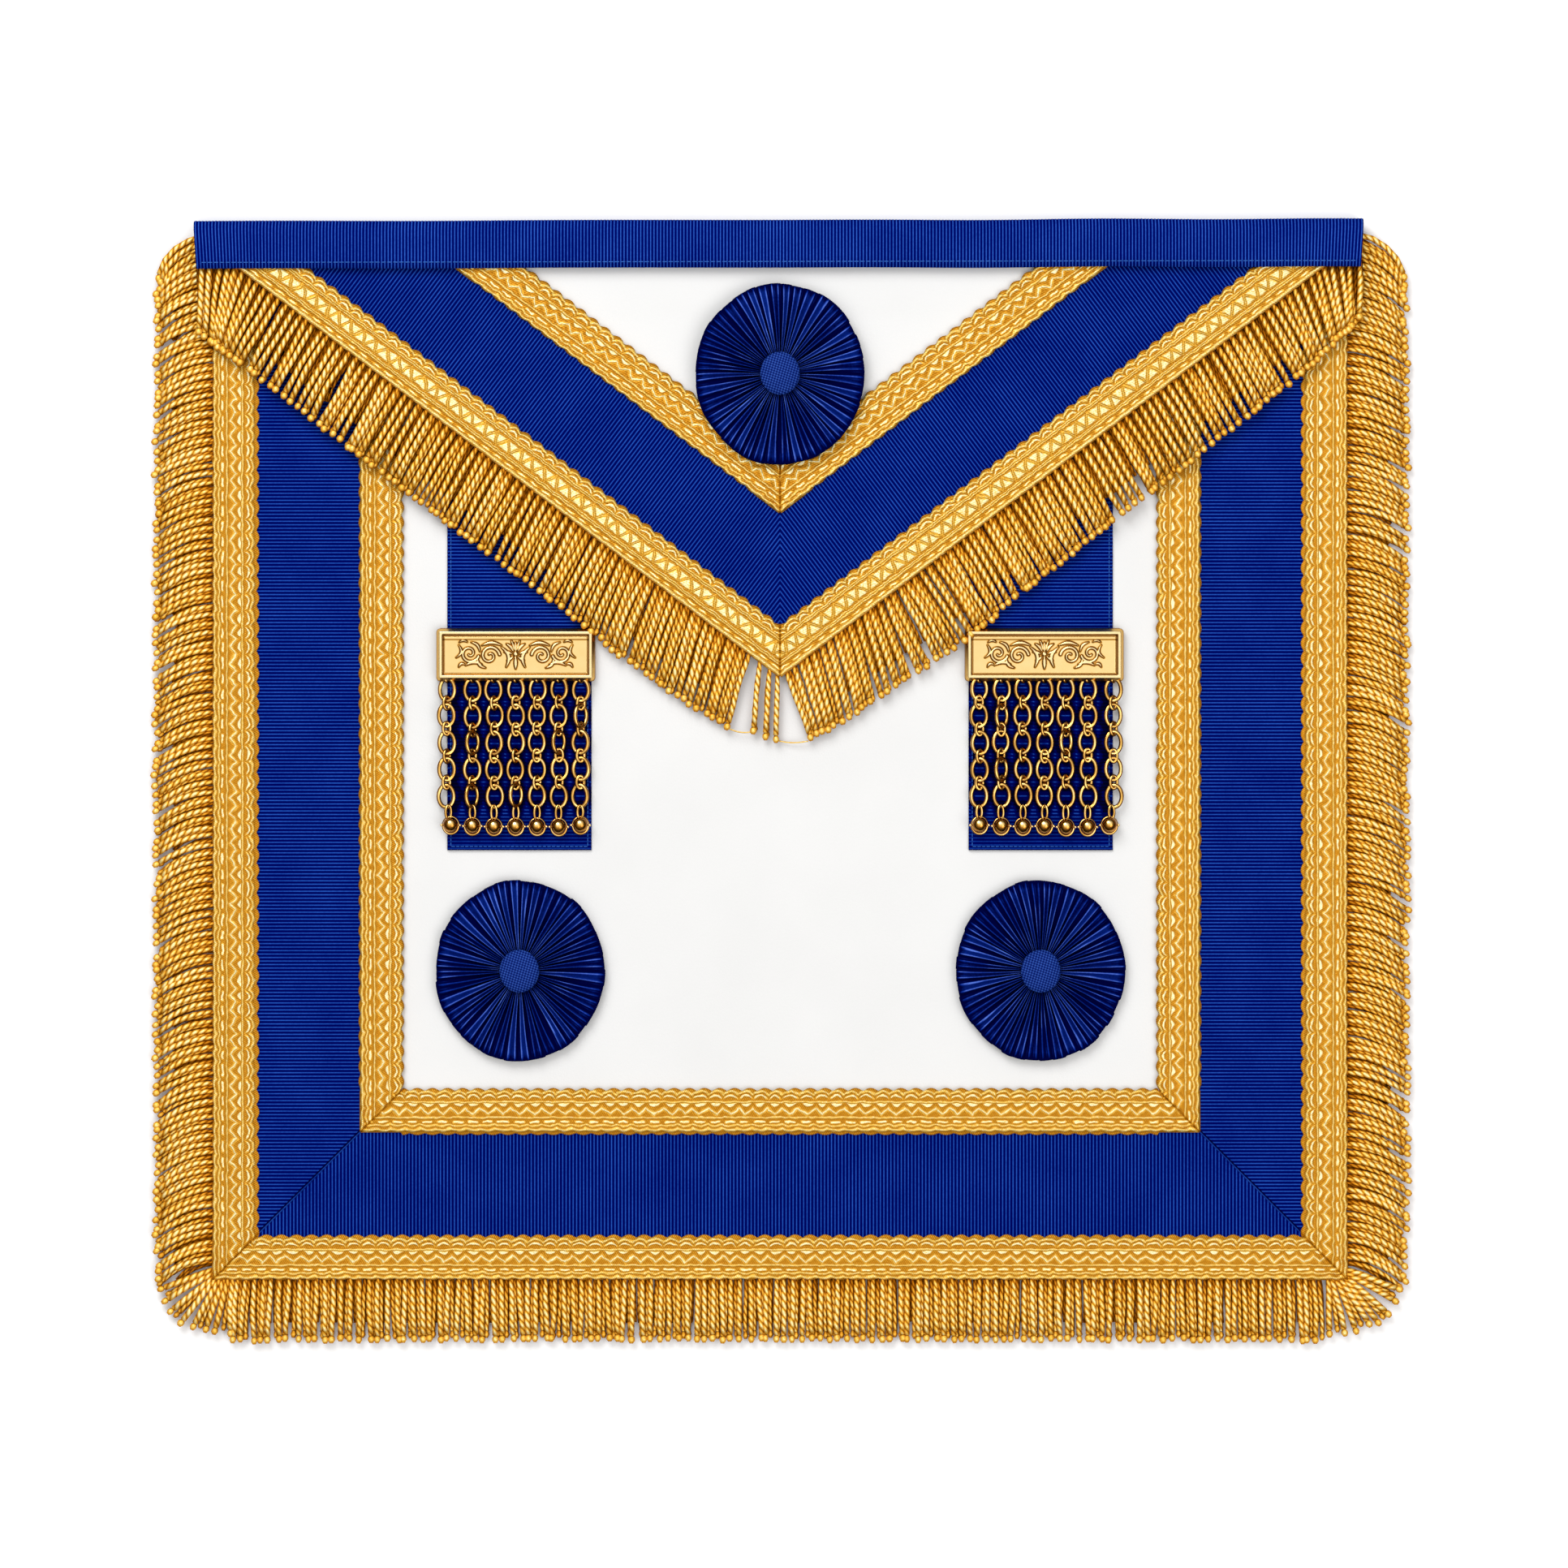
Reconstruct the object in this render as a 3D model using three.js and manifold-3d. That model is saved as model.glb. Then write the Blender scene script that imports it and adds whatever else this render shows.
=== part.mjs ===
// A fringed dress apron with a pointed flap, tassels and rosettes, laid flat with its face up.
// Millimetres. +X is to the right, +Y towards the waistband and +Z up.
// The origin is on the surface that the apron lies on, under the middle of its outline.

import * as THREE from "three";
import { mergeVertices } from "three/addons/utils/BufferGeometryUtils.js";
import Module from "manifold-3d";

// Panel and waistband
const panelWidth = 400;
const waistbandHeight = 17.2;
const waistbandOverhang = 6; // past the panel, at each end
const waistbandTuckClearance = 0.7; // from the fold to the layers inside it

// Thicknesses and the small gaps that keep the pieces apart
const skinThickness = 1.2;
const ribbonThickness = 1;
const braidThickness = 1;
const layerGap = 0.2; // between pieces that lie on one another
const seamGap = 0.3; // between pieces that meet edge to edge
const liftRun = 18; // over which the layers rise into the waistband

// Border: outer braid, ribbon, inner braid
const braidWidth = 15.2;
const ribbonWidth = 36.8; // seen between the braids
const ribbonHem = 1.5; // from the ribbon's hidden edge to the inner braid's edge

// Flap, measured from the waistband's lower edge and square to its sloping edges
const flapDepth = 144.5;
const flapInset = 8.6; // from the panel's edge to the flap's, at the waistband
const flapBraidWidth = 14.8; // the braid along the flap's edge
const flapRibbonWidth = 31.2;

// Fringe
const fringeHeadWidth = 8; // the woven heading, under the braid
const fringeThickness = 2;
const lockPitch = 9.2; // a lock is a few strands that hang together
const lockGap = 0.6;
const lockOverlap = 2; // how far a lock reaches into the heading
const kneeReach = 9; // where a strand has come down from the heading
const tipShare = 0.82; // a lock's width at its tip, as a share of its root
const bottomFringeLength = 21;
const sideFringeLength = 23;
const sideDroop = 42; // degrees that a strand at the side turns down along its length
const topDroop = 90; // the same at the very top of the side
const topDroopRun = 14; // over which the first turns into the second
const sideFringeTop = 6.5; // from the waistband's fold to the highest strand
const cornerLocks = 3;
const cornerFringeLength = 20;
const flapFringeDrop = 31; // straight down from the flap's edge to the fringe's

// Flap fringe: distance from the flap's tip as a share of the edge, lean from straight down, length
const flapFringeTable = [
  { along: 0, lean: 0, length: 23.5 },
  { along: 0.05, lean: 8, length: 28 },
  { along: 0.15, lean: 18, length: 28.8 },
  { along: 0.34, lean: 27, length: 26.2 },
  { along: 0.63, lean: 30, length: 25.7 },
  { along: 0.94, lean: 30, length: 25.4 },
  { along: 1, lean: 14, length: 27.5 },
  { along: 1.03, lean: 5, length: 25.5 },
  { along: 1.06, lean: -2, length: 21 },
];

// Rosettes and their covered buttons
const rosetteWidth = 59.5;
const rosetteHeight = 63.7;
const rosettePleats = 36;
const rosetteThickness = 5.5;
const rosetteRimThickness = 4;
const pleatDepth = 2.4;
const pleatScallop = 0.9; // how far a crest stands out past a fold, at the rim
const rosetteBossDiameter = 16; // the gathered back that carries the upper rosette
const buttonWidth = 14;
const buttonHeight = 15.2;
const buttonThickness = 2.6;
const upperRosetteGap = 6; // below the waistband
const lowerRosetteShift = 1.4; // its middle from the bar's, towards the apron's middle
const lowerRosetteGapAbove = 10.6; // below the tassel's ribbon
const lowerRosetteGapBelow = 9.9; // above the inner braid

// Tassels: a ribbon, a bar with raised scrolls, and chains that end in balls
const chainCount = 7;
const linkWidth = 6.8;
const chainGap = 0.8; // between neighbouring chains
const chainThickness = 3;
const linkPitch = 9.55;
const linkCount = 5; // large links in a chain
const firstLinkDrop = 2.7; // from the bar's lower edge to the first large link's middle
const ballDrop = 10.5; // from the last large link's middle to the ball's
const ballDiameter = 5.7;
const barMargin = 1.1; // past the outermost chains
const barHeight = 18;
const barThickness = 3.6;
const barRim = 2.3;
const barRecess = 1;
const barCornerRadius = 1.2;
const barRebate = 2.4; // under the lower edge, where the chains hook in
const barRebateHeight = 1.9;
const barClearance = 1.6; // below the flap's fringe
const barOverhang = 1.9; // past the tassel's ribbon, at each side
const hookWidth = 3;
const hookThickness = 1.1;
const tasselClearance = 14.4; // from the tassel's ribbon to the inner braid
const tasselRibbonShift = 1.2; // the ribbon's middle from the bar's, towards the apron's middle
const tasselHem = 8.1; // from the balls' middles to the ribbon's end
const reliefHeight = 0.7;
const scrollWidth = 1.1;
const scrollRadius = 3.3;
const scrollSpacing = 9.4;
const palmetteRadius = 5;

// Widths and places that follow from these
const halfPanel = panelWidth / 2;
const halfField = halfPanel - 2 * braidWidth - ribbonWidth;
const chainPitch = linkWidth + chainGap;
const barLength = (chainCount - 1) * chainPitch + linkWidth + 2 * barMargin;
const tasselRibbonWidth = barLength - 2 * barOverhang;
const tasselX = halfField - tasselClearance - tasselRibbonWidth / 2;
const tasselRibbonX = tasselX - tasselRibbonShift;
const flapSlope = flapDepth / (halfPanel - flapInset);
const flapStretch = Math.hypot(1, flapSlope); // from square to the edge to straight up

// Depths below the waistband's lower edge
const barDepth =
  flapDepth -
  flapSlope * (tasselX - barLength / 2) +
  flapFringeDrop +
  barClearance;
const firstLinkDepth = barDepth + barHeight + firstLinkDrop;
const ballDepth = firstLinkDepth + (linkCount - 1) * linkPitch + ballDrop;
const tasselDepth = ballDepth + tasselHem;
const lowerRosetteDepth = tasselDepth + lowerRosetteGapAbove + rosetteHeight / 2;
const fieldDepth = lowerRosetteDepth + rosetteHeight / 2 + lowerRosetteGapBelow;
const panelDepth = fieldDepth + 2 * braidWidth + ribbonWidth;
const upperRosetteDepth = upperRosetteGap + rosetteHeight / 2;

// The same as heights on the Y axis, whose zero is the middle of the outline
const outlineHeight = waistbandHeight + panelDepth + bottomFringeLength;
const topY = outlineHeight / 2;
const bandY = topY - waistbandHeight;
const panelY = bandY - panelDepth;
const flapTipY = bandY - flapDepth;

// Heights of the layers on the Z axis, away from the waistband
const ribbonZ = skinThickness + layerGap;
const braidZ = ribbonZ + ribbonThickness + layerGap;
const flapZ = braidZ + braidThickness + layerGap;
const flapRibbonRise = skinThickness + layerGap;
const flapBraidRise = flapRibbonRise + ribbonThickness + layerGap;
const bandLift = ribbonThickness + layerGap; // the waistband's back leaf is under the panel
const bandInside =
  bandLift + flapZ + flapBraidRise + braidThickness + layerGap; // height of its front leaf
const bandFoldRadius = (bandInside + ribbonThickness) / 2;
const tuckY = topY - bandFoldRadius - waistbandTuckClearance;

const wasm = await Module();
wasm.setup();

const materials = {
  skin: new THREE.MeshStandardMaterial({ color: 0xf4f4f2, roughness: 0.55 }),
  ribbon: new THREE.MeshStandardMaterial({ color: 0x0a2a9a, roughness: 0.6 }),
  braid: new THREE.MeshStandardMaterial({
    color: 0xe8b04a,
    roughness: 0.4,
    metalness: 0.5,
  }),
  metal: new THREE.MeshStandardMaterial({
    color: 0xd9a441,
    roughness: 0.22,
    metalness: 1,
  }),
};

const radians = THREE.MathUtils.degToRad;
const apron = new THREE.Group();

function add(name, geometry, material) {
  const mesh = new THREE.Mesh(geometry, material);
  mesh.name = name;
  apron.add(mesh);
}

// Straight lines between the rows of a table, read by its first column's name
function lookUp(table, key, at, column) {
  const next = table.findIndex((row) => row[key] >= at);
  if (next < 0) return table[table.length - 1][column];
  if (next === 0) return table[0][column];
  const [a, b] = [table[next - 1], table[next]];
  const share = (at - a[key]) / (b[key] - a[key]);
  return a[column] + share * (b[column] - a[column]);
}

// How far the panel's underside is off the surface: it rises on to the waistband's back leaf
const liftTable = [
  { y: bandY - liftRun, z: 0 },
  { y: bandY, z: bandLift },
];
const onPanel = (y) => lookUp(liftTable, "y", y, "z");

// The flap's underside: it clears the border's braid, then the tassel's ribbon, and comes down to the skin
const flapUnderTable = [
  { y: flapTipY - flapFringeTable[0].length, z: ribbonZ },
  {
    y: flapTipY + flapSlope * (tasselRibbonX - tasselRibbonWidth / 2) - flapFringeDrop,
    z: braidZ,
  },
  { y: flapTipY + flapSlope * halfField - flapFringeDrop, z: flapZ },
  { y: bandY - liftRun, z: flapZ },
  { y: bandY, z: flapZ + bandLift },
];
const onFlap = (y) => lookUp(flapUnderTable, "y", y, "z");

// A closed solid through rings of points, each ring turning from left to right to up as seen along the way
function loft(rings) {
  const points = rings.flat();
  const size = rings[0].length;
  const faces = [];
  for (let row = 0; row + 1 < rings.length; row++)
    for (let side = 0; side < size; side++) {
      const a = row * size + side;
      const b = row * size + ((side + 1) % size);
      faces.push([a, a + size, b + size], [a, b + size, b]);
    }
  const last = points.length - size;
  for (let side = 1; side + 1 < size; side++) {
    faces.push([0, side, side + 1]);
    faces.push([last, last + side + 1, last + side]);
  }
  return closed(points, faces);
}

// Points at one place become one, and faces that this flattens are dropped
function closed(points, faces) {
  const found = new Map();
  const kept = [];
  const index = points.map((point) => {
    const key = point.map((value) => value.toFixed(4)).join(" ");
    if (!found.has(key)) {
      found.set(key, kept.length);
      kept.push(point);
    }
    return found.get(key);
  });
  const used = faces
    .map((face) => face.map((corner) => index[corner]))
    .filter(([a, b, c]) => a !== b && b !== c && c !== a);
  const geometry = new THREE.BufferGeometry();
  geometry.setAttribute(
    "position",
    new THREE.Float32BufferAttribute(kept.flat(), 3),
  );
  geometry.setIndex(used.flat());
  return geometry;
}

function toSolid(geometry) {
  const bare = new THREE.BufferGeometry();
  bare.setAttribute("position", geometry.getAttribute("position"));
  bare.setIndex(geometry.getIndex());
  const merged = mergeVertices(bare, 1e-4);
  return new wasm.Manifold(
    new wasm.Mesh({
      numProp: 3,
      vertProperties: new Float32Array(merged.attributes.position.array),
      triVerts: new Uint32Array(merged.index.array),
    }),
  );
}

function fromSolid(solid) {
  const mesh = solid.getMesh();
  const geometry = new THREE.BufferGeometry();
  geometry.setAttribute(
    "position",
    new THREE.BufferAttribute(mesh.vertProperties, 3),
  );
  geometry.setIndex(new THREE.BufferAttribute(mesh.triVerts, 1));
  return geometry;
}

const join = (geometries) =>
  fromSolid(
    geometries.map(toSolid).reduce((whole, piece) => whole.add(piece)),
  );

// A sheet of even thickness. edges gives its left and right x at a height y, under is the table that
// its underside follows, rise above it, and corners are the heights where an edge turns.
// side is -1 as given, or 1 for its mirror image.
function sheet({ corners, edges, under, rise = 0, thickness, side = -1 }) {
  const low = Math.min(...corners);
  const high = Math.max(...corners);
  const rows = [...corners];
  for (const { y } of under)
    if (y > low && y < high && rows.every((row) => Math.abs(row - y) > 0.05))
      rows.push(y);
  rows.sort((a, b) => a - b);
  return loft(
    rows.map((y) => {
      const found = edges(y);
      const [left, right] = side < 0 ? found : [-found[1], -found[0]];
      const z = lookUp(under, "y", y, "z") + rise;
      return [
        [left, y, z],
        [right, y, z],
        [right, y, z + thickness],
        [left, y, z + thickness],
      ];
    }),
  );
}

// A strip up the left side, between two distances from the panel's edge, mitred at the corner
function sideStrip(outer, inner, z, thickness, side) {
  const left = outer - halfPanel;
  return sheet({
    corners: [panelY + outer + seamGap, panelY + inner + seamGap, tuckY],
    edges: (y) => [
      left,
      Math.max(left, Math.min(inner, y - panelY - seamGap) - halfPanel),
    ],
    under: liftTable,
    rise: z,
    thickness,
    side,
  });
}

// The strip that joins the two sides, along the bottom
function bottomStrip(outer, inner, z, thickness) {
  return sheet({
    corners: [panelY + outer, panelY + inner],
    edges: (y) => [y - panelY - halfPanel, halfPanel - (y - panelY)],
    under: liftTable,
    rise: z,
    thickness,
  });
}

// A strip along the flap's left edge, between two distances square to it, mitred at the tip
function flapStrip(outer, inner, rise, thickness, side, top = tuckY) {
  const edgeX = (y, inset) =>
    (y - flapTipY - inset * flapStretch) / flapSlope;
  const clipY = flapTipY + outer * flapStretch + flapSlope * halfPanel;
  const corners = [
    flapTipY + outer * flapStretch + (flapSlope * seamGap) / 2,
    flapTipY + inner * flapStretch + (flapSlope * seamGap) / 2,
    top,
  ];
  if (clipY < top) corners.push(clipY);
  return sheet({
    corners,
    edges: (y) => [
      -Math.min(edgeX(y, outer), halfPanel),
      -Math.max(edgeX(y, inner), seamGap / 2),
    ],
    under: flapUnderTable,
    rise,
    thickness,
    side,
  });
}

function addSkins() {
  add(
    "panel_skin",
    sheet({
      corners: [panelY, tuckY],
      edges: () => [-halfPanel, halfPanel],
      under: liftTable,
      thickness: skinThickness,
    }),
    materials.skin,
  );
  const halfFlap = (y) => Math.min((y - flapTipY) / flapSlope, halfPanel);
  add(
    "flap_skin",
    sheet({
      corners: [flapTipY, flapTipY + flapSlope * halfPanel, tuckY],
      edges: (y) => [-halfFlap(y), halfFlap(y)],
      under: flapUnderTable,
      thickness: skinThickness,
    }),
    materials.skin,
  );
}

// A ribbon folded over the top edge: back leaf, rounded fold and front leaf
function addWaistband() {
  const foldY = topY - bandFoldRadius;
  const profile = new THREE.Shape();
  profile.moveTo(bandY, 0);
  profile.lineTo(foldY, 0);
  profile.absarc(foldY, bandFoldRadius, bandFoldRadius, -Math.PI / 2, Math.PI / 2);
  profile.lineTo(bandY, 2 * bandFoldRadius);
  profile.lineTo(bandY, 2 * bandFoldRadius - ribbonThickness);
  const inner = bandFoldRadius - ribbonThickness;
  profile.lineTo(foldY, 2 * bandFoldRadius - ribbonThickness);
  profile.absarc(foldY, bandFoldRadius, inner, Math.PI / 2, -Math.PI / 2, true);
  profile.lineTo(bandY, ribbonThickness);
  const length = panelWidth + 2 * waistbandOverhang;
  const geometry = new THREE.ExtrudeGeometry(profile, {
    depth: length,
    bevelEnabled: false,
    curveSegments: 8,
  });
  geometry.translate(0, 0, -length / 2);
  const [x, y, z] = [
    new THREE.Vector3(1, 0, 0),
    new THREE.Vector3(0, 1, 0),
    new THREE.Vector3(0, 0, 1),
  ];
  geometry.applyMatrix4(new THREE.Matrix4().makeBasis(y, z, x));
  add("waistband", geometry, materials.ribbon);
}

function addBorder() {
  const whole = 2 * braidWidth + ribbonWidth;
  const strips = [
    {
      name: "outer_braid",
      outer: 0,
      inner: braidWidth,
      z: braidZ,
      thickness: braidThickness,
      material: materials.braid,
    },
    {
      name: "border_ribbon",
      outer: fringeHeadWidth + seamGap,
      inner: whole - ribbonHem,
      z: ribbonZ,
      thickness: ribbonThickness,
      material: materials.ribbon,
    },
    {
      name: "inner_braid",
      outer: braidWidth + ribbonWidth,
      inner: whole,
      z: braidZ,
      thickness: braidThickness,
      material: materials.braid,
    },
  ];
  for (const { name, outer, inner, z, thickness, material } of strips) {
    add(`${name}_left`, sideStrip(outer, inner, z, thickness, -1), material);
    add(`${name}_right`, sideStrip(outer, inner, z, thickness, 1), material);
    add(`${name}_bottom`, bottomStrip(outer, inner, z, thickness), material);
  }
}

function addFlapStrips() {
  const ribbonEdge = flapBraidWidth + flapRibbonWidth;
  for (const [end, side] of [
    ["left", -1],
    ["right", 1],
  ]) {
    const strip = (outer, inner, rise, thickness) =>
      flapStrip(outer, inner, rise, thickness, side);
    add(
      `flap_edge_braid_${end}`,
      strip(0, flapBraidWidth, flapBraidRise, braidThickness),
      materials.braid,
    );
    add(
      `flap_ribbon_${end}`,
      strip(
        fringeHeadWidth + seamGap,
        ribbonEdge + braidWidth - ribbonHem,
        flapRibbonRise,
        ribbonThickness,
      ),
      materials.ribbon,
    );
    add(
      `flap_inner_braid_${end}`,
      strip(ribbonEdge, ribbonEdge + braidWidth, flapBraidRise, braidThickness),
      materials.braid,
    );
  }
}

// A point along a strand that leaves its root at one angle and turns evenly to another
function strandPoint({ root, start, end, length }, travelled) {
  const turn = radians(end - start) * (travelled / length);
  const chord = turn ? (2 * Math.sin(turn / 2)) / turn : 1;
  const heading = radians(start) + turn / 2;
  return [
    root[0] + travelled * chord * Math.cos(heading),
    root[1] + travelled * chord * Math.sin(heading),
  ];
}

// One lock of strands. across is the way along the heading, under gives the underside of the whole
// fringe at y, and rise how far the heading lies above that.
function lock(strand, { across, rootWidth, tipWidth, under, rise, rest }) {
  const stations = [
    {
      at: -lockOverlap,
      width: rootWidth,
      low: rise + 0.5 * ribbonThickness,
      high: rise + 0.95 * ribbonThickness,
    },
    {
      at: kneeReach,
      width: rootWidth + (tipWidth - rootWidth) * (kneeReach / strand.length),
      low: 0,
      high: fringeThickness,
    },
    { at: strand.length, width: tipWidth, low: 0, high: fringeThickness * 0.85 },
  ];
  return loft(
    stations.map(({ at, width, low, high }, index) => {
      const [x, y] = strandPoint(strand, at);
      const corner = (share, height) => {
        const cornerY = y + across[1] * width * share;
        const floor = index === 2 ? rest : under;
        return [x + across[0] * width * share, cornerY, floor(cornerY) + height];
      };
      return [
        corner(-0.5, low),
        corner(0.5, low),
        corner(0.36, high),
        corner(-0.36, high),
      ];
    }),
  );
}

const mirrored = (geometry) => {
  const copy = geometry.clone().scale(-1, 1, 1);
  const index = copy.getIndex();
  for (let face = 0; face < index.count; face += 3) {
    const kept = index.getX(face);
    index.setX(face, index.getX(face + 1));
    index.setX(face + 1, kept);
  }
  return copy;
};

// Evenly spaced places along a run, each the middle of one lock
function places(run) {
  const count = Math.max(1, Math.round(run / lockPitch));
  const pitch = run / count;
  return Array.from({ length: count }, (_, index) => ({
    at: (index + 0.5) * pitch,
    width: pitch - lockGap,
  }));
}

const panelLock = {
  under: onPanel,
  rise: ribbonZ,
  rest: () => 0,
};

const sideLock = (y, width, droop) =>
  lock(
    {
      root: [-halfPanel, y],
      start: 180,
      end: 180 + droop,
      length: sideFringeLength,
    },
    { ...panelLock, across: [0, 1], rootWidth: width, tipWidth: width * tipShare },
  );

function addSideFringe() {
  const low = panelY + fringeHeadWidth + seamGap;
  const high = topY - sideFringeTop;
  const headInset = 2 * layerGap;
  const pieces = [
    sheet({
      corners: [low, Math.min(high, tuckY)],
      edges: () => [headInset - halfPanel, fringeHeadWidth - halfPanel],
      under: liftTable,
      rise: ribbonZ,
      thickness: ribbonThickness,
    }),
  ];
  for (const { at, width } of places(Math.min(high, tuckY) - low)) {
    const y = Math.min(high, tuckY) - at;
    const droop = sideDroop + (topDroop - sideDroop) * Math.exp(-at / topDroopRun);
    pieces.push(sideLock(y, width, droop));
  }
  const left = join(pieces);
  add("fringe_left", left, materials.braid);
  add("fringe_right", mirrored(left), materials.braid);
}

function addBottomFringe() {
  const headInset = 2 * layerGap;
  const halfHead = halfPanel - headInset;
  const head = sheet({
    corners: [panelY + headInset, panelY + fringeHeadWidth],
    edges: () => [-halfHead, halfHead],
    under: liftTable,
    rise: ribbonZ,
    thickness: ribbonThickness,
  });
  const corner = [
    sideLock(panelY + fringeHeadWidth / 2, fringeHeadWidth - lockGap, sideDroop),
  ];
  const step = 1 / cornerLocks;
  for (let share = step / 2; share < 1; share += step) {
    const start = 180 + 90 * share;
    const end = 180 + sideDroop + (90 - sideDroop) * share;
    const heading = radians((start + end) / 2);
    const spread = radians((90 - sideDroop / 2) * step * 0.9);
    corner.push(
      lock(
        {
          root: [-halfHead, panelY + headInset],
          start,
          end,
          length: cornerFringeLength,
        },
        {
          ...panelLock,
          across: [Math.sin(heading), -Math.cos(heading)],
          rootWidth: 1,
          tipWidth: 2 * cornerFringeLength * Math.tan(spread / 2),
        },
      ),
    );
  }
  const locks = places(panelWidth).map(({ at, width }) =>
    lock(
      {
        root: [at - halfPanel, panelY],
        start: 270,
        end: 270,
        length: bottomFringeLength,
      },
      {
        ...panelLock,
        across: [-1, 0],
        rootWidth: width,
        tipWidth: width * tipShare,
      },
    ),
  );
  add(
    "fringe_bottom",
    join([head, ...corner, ...corner.map(mirrored), ...locks]),
    materials.braid,
  );
}

function addFlapFringe() {
  const edgeLength = (halfPanel - flapInset) * flapStretch;
  const headInset = 2 * layerGap;
  const bandRun = flapInset + waistbandOverhang - layerGap; // along the waistband, past the edge
  const head = flapStrip(
    headInset,
    fringeHeadWidth,
    flapRibbonRise,
    ribbonThickness,
    -1,
    bandY + fringeHeadWidth,
  );
  const stubTop = bandY + fringeHeadWidth;
  const bandEnd = -halfPanel - waistbandOverhang + layerGap;
  const stub = sheet({
    corners: [bandY + layerGap, stubTop],
    edges: () => [bandEnd, flapInset + fringeHeadWidth / 4 - halfPanel],
    under: flapUnderTable,
    rise: flapRibbonRise + layerGap / 4,
    thickness: ribbonThickness - layerGap / 2,
  });
  const uphill = [-1 / flapStretch, flapSlope / flapStretch];
  const locks = places(edgeLength + bandRun).map(({ at, width }) => {
    const past = Math.max(0, at - edgeLength);
    const share = at / edgeLength;
    const run = at - past;
    const lean = lookUp(flapFringeTable, "along", share, "lean");
    const across = past > 0 ? [-1, 0] : uphill;
    return lock(
      {
        root: [run * uphill[0] - past, flapTipY + run * uphill[1]],
        start: 270 - lean,
        end: 270 - lean,
        length: lookUp(flapFringeTable, "along", share, "length"),
      },
      {
        across,
        rootWidth: width,
        tipWidth: width * tipShare,
        under: onFlap,
        rise: flapRibbonRise,
        rest: onFlap,
      },
    );
  });
  const left = join([head, stub, ...locks]);
  add("flap_fringe_left", left, materials.braid);
  add("flap_fringe_right", mirrored(left), materials.braid);
}

// A pleated oval disc: crests and folds run out from the button to the rim
function rosette(bossHeight) {
  const points = [];
  const faces = [];
  const count = 2 * rosettePleats;
  const hub = 0.4 * Math.min(buttonWidth, buttonHeight);
  const rings = [
    { reach: 1, fold: 0, crest: 0 },
    { reach: 1, fold: rosetteRimThickness - pleatDepth, crest: rosetteRimThickness },
    { reach: 0, fold: rosetteThickness - pleatDepth, crest: rosetteThickness },
  ];
  for (const { reach, fold, crest } of rings)
    for (let index = 0; index < count; index++) {
      const onCrest = index % 2 === 0;
      const angle = (2 * Math.PI * index) / count;
      const scallop = onCrest ? 0 : pleatScallop;
      const radius = (half) => (reach ? half - scallop : hub);
      points.push([
        radius(rosetteWidth / 2) * Math.cos(angle),
        radius(rosetteHeight / 2) * Math.sin(angle),
        onCrest ? crest : fold,
      ]);
    }
  const [under, over] = [points.length, points.length + 1];
  points.push([0, 0, 0], [0, 0, rosetteThickness - pleatDepth]);
  for (let index = 0; index < count; index++) {
    const next = (index + 1) % count;
    for (const ring of [0, count]) {
      const [a, b] = [ring + index, ring + next];
      faces.push([a, b, b + count], [a, b + count, a + count]);
    }
    faces.push([next, index, under]);
    faces.push([2 * count + index, 2 * count + next, over]);
  }
  const disc = closed(points, faces);
  if (!bossHeight) return disc;
  const boss = new THREE.CylinderGeometry(
    rosetteBossDiameter / 2,
    rosetteBossDiameter / 2,
    bossHeight + 1,
    16,
  );
  boss.rotateX(Math.PI / 2);
  boss.translate(0, 0, (1 - bossHeight) / 2);
  return join([disc, boss]);
}

// A cloth-covered button with a flat back and a domed face
function button() {
  const steps = 4;
  const profile = [new THREE.Vector2(0, 0), new THREE.Vector2(1, 0)];
  for (let step = 1; step <= steps; step++) {
    const angle = (step / steps) * (Math.PI / 2);
    profile.push(
      new THREE.Vector2(step < steps ? Math.cos(angle) : 0, Math.sin(angle)),
    );
  }
  const geometry = new THREE.LatheGeometry(profile, 16);
  geometry.rotateX(Math.PI / 2);
  geometry.scale(buttonWidth / 2, buttonHeight / 2, buttonThickness);
  return geometry;
}

function addRosettes() {
  const lowerX = tasselX - lowerRosetteShift;
  const lowerY = bandY - lowerRosetteDepth;
  const upperZ = flapZ + flapBraidRise + braidThickness + layerGap;
  const seats = [
    { name: "left", x: -lowerX, y: lowerY, z: ribbonZ, boss: 0 },
    { name: "right", x: lowerX, y: lowerY, z: ribbonZ, boss: 0 },
    {
      name: "upper",
      x: 0,
      y: bandY - upperRosetteDepth,
      z: upperZ,
      boss: upperZ - flapZ - skinThickness - layerGap,
    },
  ];
  for (const { name, x, y, z, boss } of seats) {
    add(`rosette_${name}`, rosette(boss).translate(x, y, z), materials.ribbon);
    add(
      `rosette_button_${name}`,
      button().translate(x, y, z + rosetteThickness + layerGap),
      materials.ribbon,
    );
  }
}

function roundedRectangle(width, height, radius) {
  const [x, y] = [width / 2 - radius, height / 2 - radius];
  const shape = new THREE.Shape();
  shape.absarc(x, y, radius, 0, Math.PI / 2);
  shape.absarc(-x, y, radius, Math.PI / 2, Math.PI);
  shape.absarc(-x, -y, radius, Math.PI, 1.5 * Math.PI);
  shape.absarc(x, -y, radius, 1.5 * Math.PI, 2 * Math.PI);
  return shape;
}

const slab = (shape, low, high, curveSegments = 2) =>
  new THREE.ExtrudeGeometry(shape, {
    depth: high - low,
    bevelEnabled: false,
    curveSegments,
  }).translate(0, 0, low);

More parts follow.
